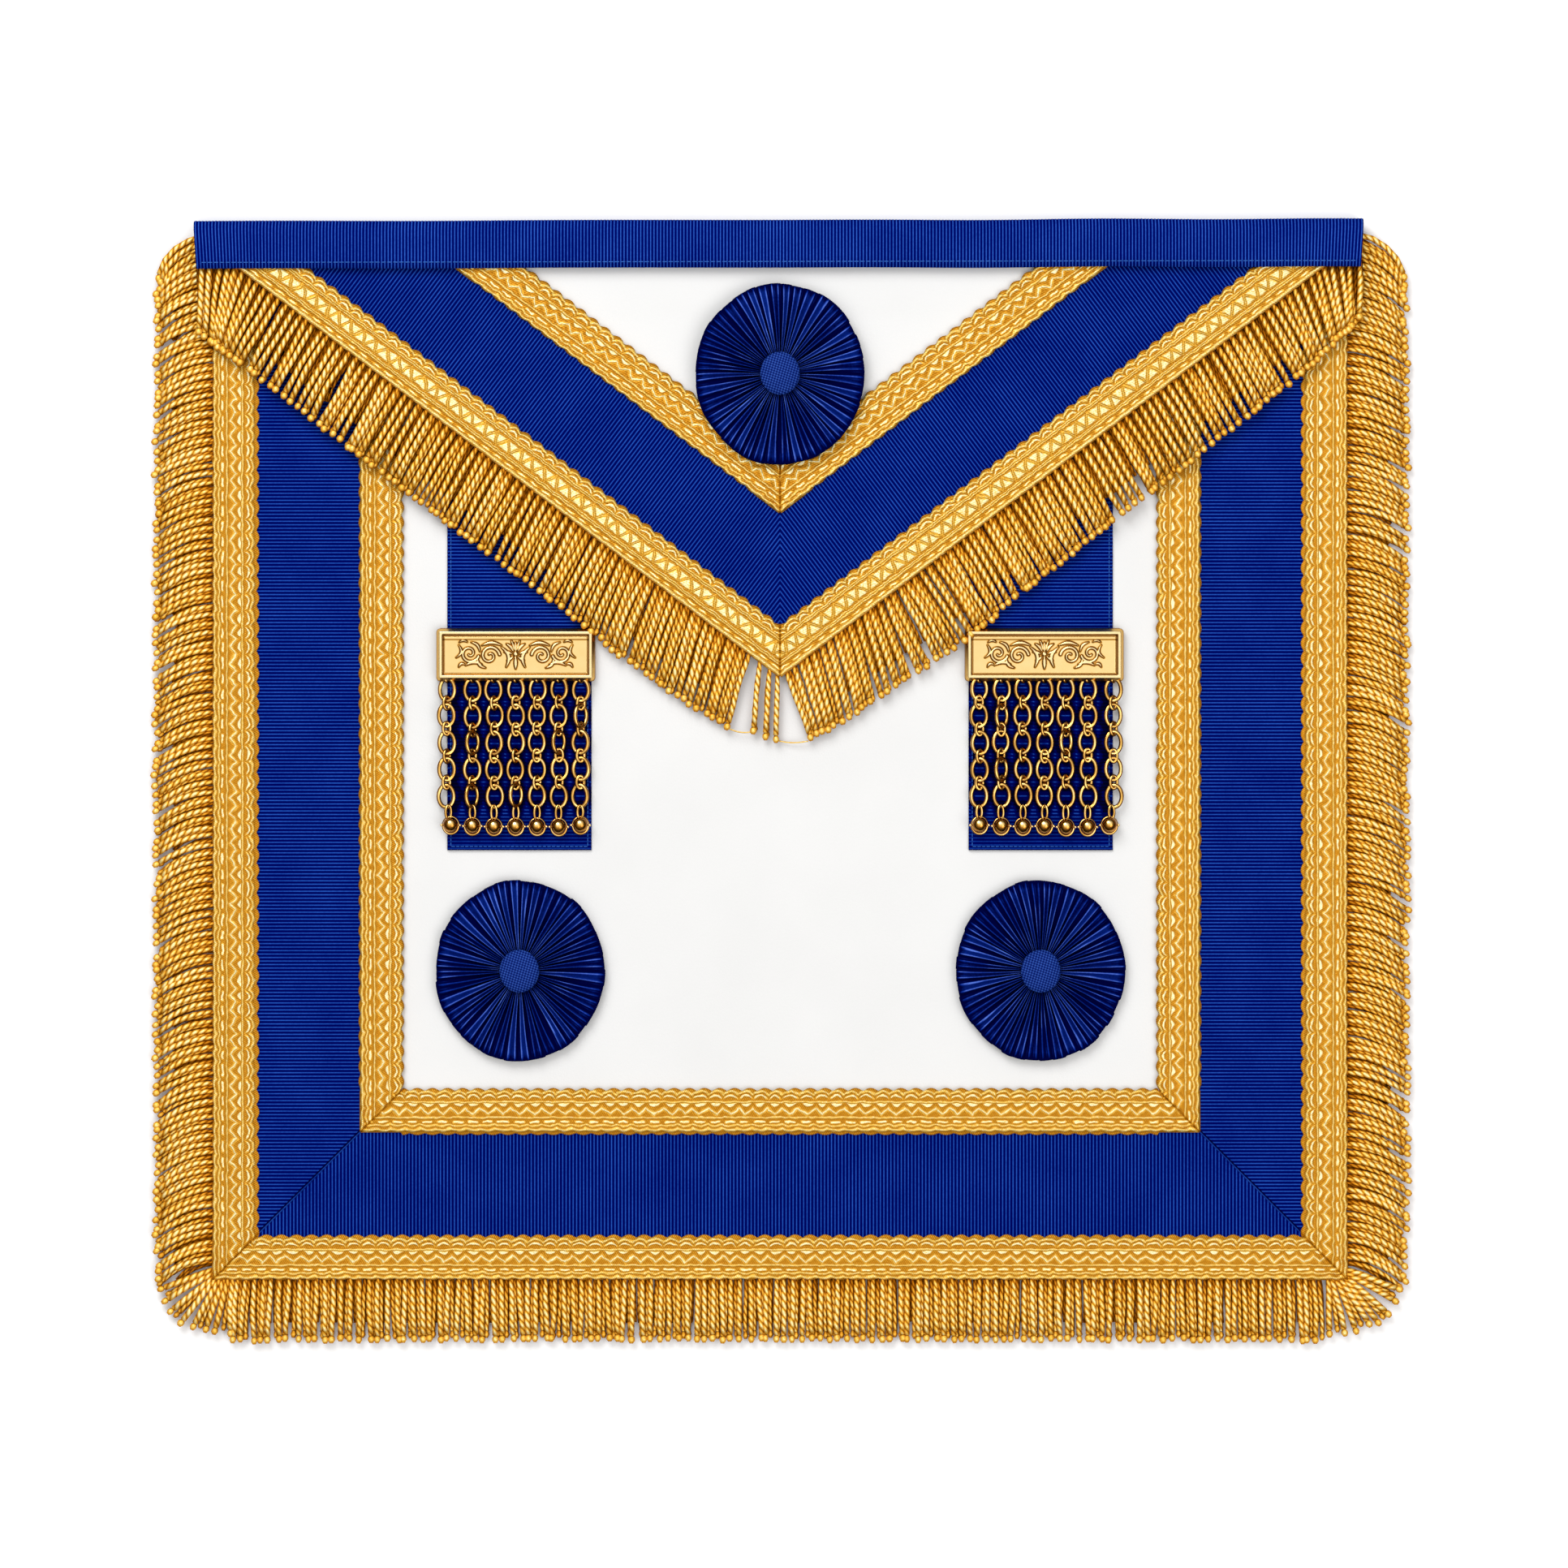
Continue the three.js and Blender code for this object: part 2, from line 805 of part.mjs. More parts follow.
// One curling leaf: a band along a spiral that narrows to its outer end
function scroll(hand) {
  const steps = 9;
  const turns = 1.25;
  const [outside, inside] = [[], []];
  for (let step = 0; step <= steps; step++) {
    const share = step / steps;
    const angle = hand * (0.5 - 2 * turns * share) * Math.PI;
    const radius = scrollRadius * (1 - 0.62 * share);
    const half = (scrollWidth / 2) * (0.45 + 0.55 * Math.sin(Math.PI * share) ** 0.5);
    const at = (distance) =>
      new THREE.Vector2(
        distance * Math.cos(angle),
        distance * Math.sin(angle),
      );
    outside.push(at(radius + half));
    inside.push(at(radius - half));
  }
  return new THREE.Shape([...outside, ...inside.reverse()]);
}

// Five petals that fan upwards from the middle of the bar
function palmette() {
  const petals = 5;
  const points = [new THREE.Vector2(0, -palmetteRadius)];
  for (let petal = 0; petal < petals; petal++) {
    const middle = radians(10 + (160 * petal) / (petals - 1));
    const side = radians(14);
    for (const [turn, reach] of [
      [-side, 0.55],
      [0, 1],
      [side, 0.55],
    ])
      points.push(
        new THREE.Vector2(
          palmetteRadius * reach * Math.cos(middle + turn),
          palmetteRadius * reach * Math.sin(middle + turn),
        ),
      );
  }
  return new THREE.Shape(points);
}

function tasselBar() {
  const outline = roundedRectangle(barLength, barHeight, barCornerRadius);
  const recess = roundedRectangle(
    barLength - 2 * barRim,
    barHeight - 2 * barRim,
    barCornerRadius / 2,
  );
  const floor = barThickness - barRecess;
  const body = toSolid(slab(outline, 0, barThickness));
  const pocket = toSolid(slab(recess, floor, barThickness + 1));
  const rebateShape = roundedRectangle(
    barLength - 2 * (barMargin - layerGap),
    2 * barRebate,
    layerGap,
  );
  const rebate = toSolid(
    slab(rebateShape, -1, barRebateHeight, 1).translate(0, -barHeight / 2, 0),
  );
  let bar = body.subtract(pocket).subtract(rebate);
  const embed = 0.2;
  const raise = (shape) =>
    toSolid(slab(shape, floor - embed, floor + reliefHeight, 1));
  bar = bar.add(raise(palmette()));
  for (const hand of [-1, 1])
    for (const step of [1, 2]) {
      const leaf = fromSolid(raise(scroll(step % 2 ? 1 : -1)));
      const placed = leaf.translate(step * scrollSpacing, 0, 0);
      bar = bar.add(toSolid(hand > 0 ? placed : mirrored(placed)));
    }
  return fromSolid(bar);
}

// A chain's outer form: a hook under the bar, a flat oval run, and its ball
function chain() {
  const top = bandY - barDepth - barHeight - seamGap;
  const end = bandY - ballDepth;
  const ballRadius = ballDiameter / 2;
  const sides = 8;
  const ring = (y) =>
    Array.from({ length: sides }, (_, side) => {
      const angle = (2 * Math.PI * (side + 0.5)) / sides;
      return [
        (linkWidth / 2) * Math.cos(angle),
        y,
        (chainThickness / 2) * (1 + Math.sin(angle)),
      ];
    });
  const run = loft([ring(end + 0.8 * ballRadius), ring(top)]);
  const hook = new THREE.BoxGeometry(hookWidth, 2 * barRebate, hookThickness);
  hook.translate(0, top, barRebateHeight - layerGap - hookThickness / 2);
  const ball = new THREE.SphereGeometry(ballRadius, 10, 6);
  ball.rotateX(Math.PI / 2);
  ball.translate(0, end, ballRadius);
  return join([run, hook, ball]);
}

function addTassels() {
  for (const [end, side] of [
    ["left", -1],
    ["right", 1],
  ]) {
    const half = tasselRibbonWidth / 2;
    add(
      `tassel_ribbon_${end}`,
      sheet({
        corners: [bandY - tasselDepth, tuckY],
        edges: () => [-tasselRibbonX - half, half - tasselRibbonX],
        under: liftTable,
        rise: ribbonZ,
        thickness: ribbonThickness,
        side,
      }),
      materials.ribbon,
    );
    add(
      `tassel_bar_${end}`,
      tasselBar().translate(
        side * tasselX,
        bandY - barDepth - barHeight / 2,
        braidZ,
      ),
      materials.metal,
    );
    for (let index = 0; index < chainCount; index++) {
      const x = side * tasselX + (index - (chainCount - 1) / 2) * chainPitch;
      add(
        `tassel_chain_${end}_${index + 1}`,
        chain().translate(x, 0, braidZ),
        materials.metal,
      );
    }
  }
}

addSkins();
addWaistband();
addBorder();
addFlapStrips();
addSideFringe();
addBottomFringe();
addFlapFringe();
addRosettes();
addTassels();

export default apron;
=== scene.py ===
"""A fringed dress apron, lying flat and face up: pointed flap, braid, ribbon, tassels and rosettes."""

import math

import bpy
import numpy as np
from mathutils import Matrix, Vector


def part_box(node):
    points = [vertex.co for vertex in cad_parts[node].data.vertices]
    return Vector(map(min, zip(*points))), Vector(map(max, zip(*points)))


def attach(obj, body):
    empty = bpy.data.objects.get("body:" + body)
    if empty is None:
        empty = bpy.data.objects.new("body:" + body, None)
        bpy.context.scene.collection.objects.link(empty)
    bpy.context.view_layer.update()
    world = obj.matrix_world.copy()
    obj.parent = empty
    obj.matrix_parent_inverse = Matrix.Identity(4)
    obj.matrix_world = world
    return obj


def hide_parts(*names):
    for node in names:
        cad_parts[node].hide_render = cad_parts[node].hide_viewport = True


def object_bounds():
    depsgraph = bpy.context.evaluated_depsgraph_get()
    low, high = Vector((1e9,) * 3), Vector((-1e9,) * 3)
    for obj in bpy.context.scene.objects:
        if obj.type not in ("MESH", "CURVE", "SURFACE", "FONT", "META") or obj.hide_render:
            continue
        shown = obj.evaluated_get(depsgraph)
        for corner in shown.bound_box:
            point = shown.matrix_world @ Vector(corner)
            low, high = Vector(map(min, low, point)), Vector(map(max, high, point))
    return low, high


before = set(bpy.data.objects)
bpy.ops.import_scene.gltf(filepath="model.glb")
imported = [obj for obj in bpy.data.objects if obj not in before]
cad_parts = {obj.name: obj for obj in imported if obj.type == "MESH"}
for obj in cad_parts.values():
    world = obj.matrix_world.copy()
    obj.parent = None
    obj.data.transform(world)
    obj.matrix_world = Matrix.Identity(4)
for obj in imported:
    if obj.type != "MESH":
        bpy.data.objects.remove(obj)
cad_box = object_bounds()
MM = 0.001
chance = np.random.default_rng(7)


def corners(node):
    """The node's lowest and highest corner, in millimetres."""
    low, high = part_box(node)
    return np.array(low) / MM, np.array(high) / MM


# Places taken from the pieces of the frame, in millimetres
panel_low, panel_high = corners("panel_skin")
flap_low, _ = corners("flap_skin")
band_low, band_high = corners("waistband")
half_panel = panel_high[0]
half_field = corners("inner_braid_right")[0][0]
panel_y, band_y, top_y, tuck_y = panel_low[1], band_low[1], band_high[1], panel_high[1]
tip_y = flap_low[1]
outline_low = cad_box[0][1] / MM

# Sizes
skin, cloth, gap = 1.2, 1.0, 0.2
lift_run = 18.0
braid_width = 15.2
ribbon_seen = 36.8
flap_braid_width = 14.8
flap_ribbon_seen = 31.2
flap_inset = 8.6
flap_slope = (band_y - tip_y) / (half_panel - flap_inset)
flap_stretch = math.hypot(1, flap_slope)
fringe_drop = 31.0  # straight down from the flap's edge to its fringe's
rib_pitch = 1.23
braid_pitch = 5.32
strand_pitch = 1.55
strand_radius = 1.08
bead_radius = 1.34
side_droop, top_droop, droop_run = 42.0, 84.0, 14.0
side_length = {"left": 22.6, "right": 23.6}
corner_inset = 8.6  # the bottom fringe ends this far from the panel's corners, where the fans take over
picture_middle = (1.4, -1.6)
groove_shade = 0.16  # shade between two ribs
SIDES = (("left", False), ("right", True))  # an end and whether it is the mirror image
STRAND_ROWS = [  # by layer from the top: rows, sides, and the bead's rows as size and place
    (6, 6, [(0.5, 0.0), (0.95, 0.3), (1.0, 0.64), (0.5, 1.0)]),
    (6, 5, [(0.6, 0.1), (0.9, 0.55), (0.45, 1.0)]),
    (5, 4, []),
]
FLAP_HANG = {  # share of the flap's edge from the tip, lean from straight down, length
    "left": [(0, 0.5, 23), (0.02, 3, 24.5), (0.037, 4.5, 25.6), (0.05, 17, 27.3), (0.15, 17, 29.8),
             (0.24, 22, 29.7), (0.29, 24, 29.0), (0.34, 27, 28.0), (0.63, 30, 28.3), (0.94, 30, 27.4),
             (1, 14, 29.1), (1.03, 5, 26.8), (1.06, -2, 22.6)],
    "right": [(0, 22, 24.4), (0.03, 18, 26.4), (0.08, 14, 28.6), (0.17, 18, 29.4), (0.24, 33, 29.5),
              (0.3, 31, 30.0), (0.345, 30, 28.6), (0.63, 30, 27.6), (0.9, 30, 26.3), (1, 14, 25.6),
              (1.03, 5, 23.2), (1.06, -2, 17.5)],
}
SCROLL_LEAVES = [  # start x and y, end x and y, bow, half width
    (3.3, -4.3, 4.9, 2.6, 0.24, 0.62),
    (5.0, 3.3, 11.8, 3.3, 0.14, 0.55),
    (11.9, -3.4, 17.6, -3.7, 0.16, 0.55),
    (10.6, -4.6, 13.4, -1.4, -0.2, 0.5),
    (12.6, 1.2, 15.6, 4.4, 0.2, 0.45),
    (20.0, 3.4, 20.9, -1.0, -0.3, 0.42),
    (17.0, 4.5, 19.8, 4.4, 0.2, 0.35),
    (17.8, -3.4, 20.0, -4.3, 0.3, 0.42),
    (0.9, 1.2, 3.2, 3.8, 0.12, 0.5),
    (1.3, 0.3, 4.0, 0.9, 0.1, 0.45),
    (0.5, 1.6, 1.5, 4.9, 0.05, 0.42),
    (0.9, -0.5, 3.0, -2.0, -0.1, 0.42),
    (0.0, -0.6, 0.0, -4.9, 0.0, 0.6),
    (0.0, 1.0, 0.0, 4.4, 0.0, 0.45),
]
ribbon_z = skin + gap
braid_z = ribbon_z + cloth + gap
flap_z = braid_z + cloth + gap


# Shapes gathered from grids


class Shape:
    """Rings of points that become one mesh, each run of rings a closed tube of quads with two end faces."""

    def __init__(self):
        self.points, self.faces, self.shade, self.place, self.count = [], [], [], [], 0

    def loft(self, rings, shade=1.0, place=None, closed=False):
        """Joins each ring to the next. rings is (..., rows, around, 3); leading axes are copies of the run.
        closed joins the last ring to the first in place of the end faces."""
        rings = np.asarray(rings, float)
        rows, around = rings.shape[-3:-1]
        rings = rings.reshape(-1, rows, around, 3)
        runs = len(rings)
        first = self.count + np.arange(runs)[:, None, None] * rows * around
        row = np.arange(rows if closed else rows - 1)[None, :, None]
        side = np.arange(around)[None, None, :]
        after, beside = (row + 1) % rows, (side + 1) % around
        quads = [first + row * around + side, first + after * around + side]
        quads += [first + after * around + beside, first + row * around + beside]
        self.faces.append(np.stack(np.broadcast_arrays(*quads), -1).reshape(-1, 4))
        if not closed:
            ends = first[:, :, 0] + np.arange(around)[None]
            self.faces.append(ends)
            self.faces.append((ends + (rows - 1) * around)[:, ::-1])
        self.points.append(rings.reshape(-1, 3))
        self.shade.append(np.broadcast_to(shade, rings.shape[:-1]).reshape(-1))
        place = rings if place is None else np.broadcast_to(place, rings.shape)
        self.place.append(np.asarray(place, float).reshape(-1, 3))
        self.count += runs * rows * around
        return self

    def piece(self, name, nodes, material, slot, mirror=False):
        """The finished piece, in metres, with its faces outwards and its shade and place as attributes."""
        points = np.concatenate(self.points) * MM
        if mirror:
            points = points * (-1, 1, 1)
        flip = volume(points, self.faces) < 0
        faces = [face[:, ::-1] if flip else face for face in self.faces]
        sizes = np.concatenate([np.full(len(face), face.shape[1]) for face in faces])
        mesh = bpy.data.meshes.new(name)
        mesh.vertices.add(len(points))
        mesh.vertices.foreach_set("co", points.ravel())
        mesh.loops.add(int(sizes.sum()))
        order = np.concatenate([face.ravel() for face in faces])
        mesh.loops.foreach_set("vertex_index", order.astype(np.int32))
        mesh.polygons.add(len(sizes))
        mesh.polygons.foreach_set("loop_start", (np.cumsum(sizes) - sizes).astype(np.int32))
        mesh.polygons.foreach_set("use_smooth", np.full(len(sizes), True))
        mesh.update(calc_edges=True)
        mesh.attributes.new("shade", "FLOAT", "POINT").data.foreach_set("value", np.concatenate(self.shade))
        place = mesh.attributes.new("place", "FLOAT_VECTOR", "POINT")
        place.data.foreach_set("vector", np.concatenate(self.place).ravel())
        mesh.materials.append(material)
        piece = bpy.data.objects.new(name, mesh)
        bpy.context.scene.collection.objects.link(piece)
        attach(piece, "root")
        if nodes:
            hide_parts(*nodes)
        return piece


def volume(points, faces):
    """Signed volume: the sum of the tetrahedra between the origin and each face's fan of triangles."""
    total = 0.0
    for face in faces:
        for corner in range(1, face.shape[1] - 1):
            a, b, c = points[face[:, 0]], points[face[:, corner]], points[face[:, corner + 1]]
            total += np.einsum("ij,ij->i", a, np.cross(b, c)).sum()
    return total / 6


def plate(left, right, across, under, top):
    """Rings of a sheet: row by row from its left to its right edge, at the shares in across. under and top
    give the height at each point, and left and right are the edges' points, (rows, 2)."""
    flat = left[:, None] + (right - left)[:, None] * across[None, :, None]
    upper = np.dstack([flat, top(flat[..., 0], flat[..., 1])])
    base = np.stack([left, right], 1)
    lower = np.dstack([base, under(base[..., 0], base[..., 1])])
    return np.concatenate([lower, upper[:, ::-1]], 1)


def lay(left, right, wide, long=0.0):
    """Works out the cut of a flat strip and does nothing more with it. The cut is as wide as the cloth, or as
    the strip's widest row where scallops reach past that, and as long as the longer edge is from end to
    end, unless a length is given."""
    wide = max(wide, np.linalg.norm(right - left, axis=1).max())
    long = long or max(np.linalg.norm(edge[-1] - edge[0]) for edge in (left, right))


def strip(shape, rings, name, kind, material, slot, wide, mirror=False):
    """Makes the shape the piece that stands for its node, and works out the cut of its rings as a flat strip.
    """
    piece = shape.piece(name + kind, [name], material, slot, mirror)
    lay(rings[:, 0, :2], rings[:, 1, :2], wide)


def pair(name, rings, shade, place, kind, material, slot, wide):
    """A left strip and its mirror image on the right."""
    for end, mirror in SIDES:
        strip(Shape().loft(rings, shade, place), rings, name + end, kind, material, slot, wide, mirror)


def tube(path, radius, sides):
    """Rings of the given radius round a path, (..., rows, 3), and square to it."""
    ahead = np.gradient(path, axis=-2)
    ahead /= np.linalg.norm(ahead, axis=-1, keepdims=True) + 1e-12
    right = np.cross(ahead, np.broadcast_to((0.0, 0.0, 1.0), ahead.shape))
    right /= np.linalg.norm(right, axis=-1, keepdims=True) + 1e-12
    up = np.cross(right, ahead)
    angle = 2 * np.pi * (np.arange(sides) + 0.5) / sides
    reach = np.asarray(radius)[..., None]
    rings = path[..., None, :] + (reach * np.cos(angle))[..., None] * right[..., None, :]
    return rings + (reach * np.sin(angle))[..., None] * up[..., None, :]


def lift(y):
    """Height of the panel's underside: it rises on to the waistband's back leaf."""
    return np.interp(y, [band_y - lift_run, band_y], [0, cloth + gap])


def under_flap(y):
    """Height of the flap's underside. From the waistband down to the tip it clears the border, then the
    tassel ribbons, and then comes down to the panel's skin."""
    near = tip_y + flap_slope * corners("tassel_ribbon_right")[0][0] - fringe_drop
    far = tip_y + flap_slope * half_field - fringe_drop
    heights = [ribbon_z, braid_z, flap_z, flap_z, flap_z + cloth + gap]
    return np.interp(y, [tip_y - 23, near, far, band_y - lift_run, band_y], heights)


def ripple(x, y, size, height):
    """Slow unevenness: three crossing waves of about the given size."""
    a = np.sin(2 * np.pi * (x / size + 0.31 * np.sin(2 * np.pi * y / (1.7 * size))))
    b = np.sin(2 * np.pi * (y / (1.3 * size) + 0.27 * np.sin(2 * np.pi * x / (2.1 * size)) + 0.4))
    c = np.sin(2 * np.pi * ((x + y) / (0.83 * size) + 0.7))
    return height * (a + b + 0.6 * c) / 2.6


def ribbed(spine, edges_of, columns, under, depth=0.16, fall=0.05):
    """A ribbed ribbon. Rows stand half a rib apart along the spine, and every other row is a crest.
    edges_of gives both edges' points for a distance along the spine, depth is how far the ribs stand
    out, and fall is how far the edges round off."""
    rows = int(round((spine[1] - spine[0]) / (rib_pitch / 2)))
    along = np.linspace(*spine, rows + 1)
    crest = (np.arange(rows + 1) % 2).astype(float)
    left, right = edges_of(along)
    across = np.concatenate([[0, 0.008], np.linspace(0.03, 0.97, columns - 4), [0.992, 1]])
    wave = crest[:, None] * depth

    def top(x, y):
        edge = np.minimum(across, 1 - across)[None] * np.linalg.norm(right - left, axis=1)[:, None]
        rounded = fall * np.clip(1 - edge / 0.8, 0, 1) ** 2
        return under(x, y) + cloth - depth + wave + ripple(x, y, 31, 0.05) - rounded

    rings = plate(left, right, across, under, top)
    # Painted shade between the ribs and a painted highlight on each crest.
    lit = np.concatenate([np.zeros((rows + 1, 2)), np.repeat(crest[:, None], columns, 1)], 1)
    return rings, groove_shade + (1 - groove_shade) * lit


# Materials


class Sum:
    """A number in a material, so that a pattern can be written as arithmetic. Each sign makes a Math node."""

    def __init__(self, tree, socket):
        self.tree, self.socket = tree, socket

    def math(self, kind, *others):
        node = self.tree.nodes.new("ShaderNodeMath")
        node.operation = kind
        for slot, value in enumerate([self, *others]):
            if isinstance(value, Sum):
                self.tree.links.new(value.socket, node.inputs[slot])
            else:
                node.inputs[slot].default_value = value
        return Sum(self.tree, node.outputs[0])

    def __add__(self, other):
        return self.math("ADD", other)

    def __sub__(self, other):
        return self.math("SUBTRACT", other)

    def __mul__(self, other):
        return self.math("MULTIPLY", other)

    def __truediv__(self, other):
        return self.math("DIVIDE", other)

    def __rsub__(self, other):
        return (self * -1) + other

    def __abs__(self):
        return self.math("ABSOLUTE")


class Maths:
    """The same functions for numpy arrays and for numbers in a material."""

    @staticmethod
    def sin(x):
        return x.math("SINE") if isinstance(x, Sum) else np.sin(x)

    @staticmethod
    def cos(x):
        return x.math("COSINE") if isinstance(x, Sum) else np.cos(x)

    @staticmethod
    def least(x, y):
        return x.math("MINIMUM", y) if isinstance(x, Sum) else np.minimum(x, y)

    @staticmethod
    def most(x, *others):
        for y in others:
            x = x.math("MAXIMUM", y) if isinstance(x, Sum) else np.maximum(x, y)
        return x

    @staticmethod
    def saw(x):
        """Falls from 1 to 0 and back once for each whole x."""
        if isinstance(x, Sum):
            return abs(x.math("FRACT") * 2 - 1)
        return abs((x % 1) * 2 - 1)


def ridge(distance, half):
    """A rounded ridge: 1 on its line, 0 at half its width and beyond."""
    share = distance / half
    return Maths.most(1 - share * share, 0)


def braid_pattern(u, v, straight):
    """Height and brightness of the braid at u along it and v across, in millimetres from its middle, with
    the inner edge at v > 0. The brightness is painted light: painted highlights on the raised cords and
    painted shade between them. Once a pitch the edge cords pinch in, and between the pinches they bow out.
    A scalloped braid has, from its inner edge: a rim cord, a crescent, a straight cord, a lens, a zigzag, a
    second straight cord, a dash, a wavy cord and a lower rim, with the crescent, the lens and the dash
    brightest in painted highlight. A straight braid has the same edges with a flat outer rim, two pairs of
    straight cords and a row of triangles in painted highlight."""
    bow = abs(Maths.cos(u * (math.pi / braid_pitch)))
    lens = Maths.most(bow * 1.55 - 0.55, 0)
    fall = Maths.saw(u / braid_pitch)  # 1 in the middle of a bow, 0 at a pinch
    rim = ridge(v - (bow * 1.3 + 5.75), 0.68)
    crescent = ridge(v - (bow * 1.3 + 4.15), 0.5) * Maths.least(bow * 1.6, 1)
    if straight:
        low_rim = ridge(v + 6.6, 1.0)
        low_bright = ridge(v + 5.2, 0.42) * lens
        cords = Maths.most(ridge(abs(v) - 3.8, 0.42), ridge(abs(v) - 3.0, 0.36))
        swing = fall * 4.6 - 2.3
        zigzag = ridge(v - swing, 0.75) * ridge(v, 3.0)
        bend = Maths.least(abs(v - swing) * 0.6, Maths.most(2.5 - abs(v), 0) * 1.2)
        gem = Maths.least(Maths.most(bend - 0.34, 0) * 1.5, 1)
        middle = Maths.most(zigzag * 0.5, gem * 0.85)
        bright = Maths.most(rim * 0.62, crescent, low_rim * 0.66, low_bright, cords * 0.6, middle)
        return Maths.most(rim, crescent * 0.8, low_rim, cords * 0.8, zigzag * 0.8, gem * 0.75), bright
    cords = Maths.most(ridge(v - 3.2, 0.46), ridge(v + 2.3, 0.46))
    top = Maths.least((2.75 - v) * 3, (v - 2.65 + lens * 1.35) * 3)
    top = Maths.least(Maths.most(top, 0), 1)
    swing = 0.95 - fall * 2.1
    zigzag = ridge(v - swing, 0.5)
    shoulder = ridge(v - swing, 1.0)
    dash = ridge(v + 3.85, 0.5) * Maths.least(lens * 2, 1)
    wavy = ridge(v + (bow * 0.5 + 4.75), 0.5)
    low_rim = ridge(v + (bow * 0.7 + 6.15), 0.75)
    bright = Maths.most(rim * 0.62, crescent, cords * 0.62, top, zigzag * 0.95, shoulder * 0.5, dash,
                        wavy * 0.6, low_rim * 0.62)
    height = Maths.most(rim, crescent * 0.85, cords * 0.8, top * 0.6, zigzag * 0.9, dash * 0.6,
                        wavy * 0.8, low_rim)
    return height, bright


def new_material(name):
    material = bpy.data.materials.new(name)
    material.use_nodes = True
    tree = material.node_tree
    tree.nodes.clear()
    shader = tree.nodes.new("ShaderNodeBsdfPrincipled")
    output = tree.nodes.new("ShaderNodeOutputMaterial")
    tree.links.new(shader.outputs[0], output.inputs[0])
    return material, tree, shader


def attribute(tree, name, output="Fac"):
    node = tree.nodes.new("ShaderNodeAttribute")
    node.attribute_name = name
    return node.outputs[output]


def ramp(tree, factor, stops):
    """A colour ramp: stops are rows of place and colour."""
    node = tree.nodes.new("ShaderNodeValToRGB")
    elements = node.color_ramp.elements
    while len(elements) < len(stops):
        elements.new(0.5)
    for element, (at, colour) in zip(elements, stops):
        element.position = at
        element.color = (*colour, 1)
    tree.links.new(factor, node.inputs[0])
    return node.outputs[0]


def noise(tree, vector, scale, detail=3.0):
    node = tree.nodes.new("ShaderNodeTexNoise")
    node.inputs["Scale"].default_value = scale
    node.inputs["Detail"].default_value = detail
    tree.links.new(vector, node.inputs["Vector"])
    return Sum(tree, node.outputs[0])


def bump(tree, shader, height, distance, strength=1.0):
    node = tree.nodes.new("ShaderNodeBump")
    node.inputs["Distance"].default_value = distance
    node.inputs["Strength"].default_value = strength
    tree.links.new(height.socket, node.inputs["Height"])
    tree.links.new(node.outputs[0], shader.inputs["Normal"])


def set_inputs(node, values):
    for name, value in values.items():
        node.inputs[name].default_value = value


def paint(tree, shader, shade, stops):
    """Gives the shader the colour that the shade picks from the stops."""
    tree.links.new(ramp(tree, shade.socket, stops), shader.inputs["Base Color"])


def parts(tree, vector):
    """The three parts of a vector."""
    node = tree.nodes.new("ShaderNodeSeparateXYZ")
    tree.links.new(vector, node.inputs[0])
    return [Sum(tree, output) for output in node.outputs]


def object_point(tree):
    return tree.nodes.new("ShaderNodeTexCoord").outputs["Object"]


def upward(tree):
    """How far the surface looks up, from 0 at its sides to 1 on top."""
    return Maths.most(parts(tree, tree.nodes.new("ShaderNodeTexCoord").outputs["Normal"])[2], 0)


def uneven(tree, scale, amount, detail=3.0):
    """A number about 1 that wanders by the amount over the piece."""
    return noise(tree, object_point(tree), scale, detail) * (2 * amount) + (1 - amount)


GOLD_STOPS = [
    (0.0, (0.07, 0.02, 0.001)),
    (0.22, (0.4, 0.135, 0.004)),
    (0.5, (0.75, 0.375, 0.034)),
    (0.75, (0.86, 0.56, 0.11)),
    (0.9, (0.9, 0.7, 0.24)),
    (1.0, (0.96, 0.88, 0.55)),
]
THREAD_STOPS = [
    (0.0, (0.06, 0.016, 0.0005)),
    (0.22, (0.42, 0.125, 0.003)),
    (0.5, (0.8, 0.36, 0.025)),
    (0.75, (0.93, 0.54, 0.08)),
    (0.9, (0.95, 0.66, 0.17)),
    (1.0, (0.97, 0.8, 0.38)),
]


def thread_gloss(shader):
    """The sheen of metal thread: it reflects in its own colour, also at its sides."""
    set_inputs(shader, {"Metallic": 0.35, "Roughness": 0.38, "Specular IOR Level": 0.0,
                        "Specular Tint": (1.0, 0.62, 0.18, 1)})


def gold_thread():
    """Twisted metal thread. The place attribute holds the cosine and sine of the angle round the strand and
    the angle by which its two plies have turned, so a ply's crest is where the sine of their difference
    is largest, and the groove between the plies gets painted shade. A bead has neither. Both get painted
    shade at their sides and are brightest on top, by how far their surface looks up."""
    material, tree, shader = new_material("gold_thread")
    cosine, sine, turn = parts(tree, attribute(tree, "place", "Vector"))
    ply = abs(Maths.sin(sine.math("ARCTAN2", cosine) - turn))
    rough = uneven(tree, 1500, 0.3, 2)
    # Painted shade: darker in the plies' grooves and at the sides, brightest on top.
    shade = Sum(tree, attribute(tree, "shade")) * (ply * 0.85 + 0.2) * (upward(tree) * 0.85 + 0.15) * rough
    paint(tree, shader, shade, THREAD_STOPS)
    thread_gloss(shader)
    bump(tree, shader, ply + rough * 0.2, 0.0004, 0.8)
    return material


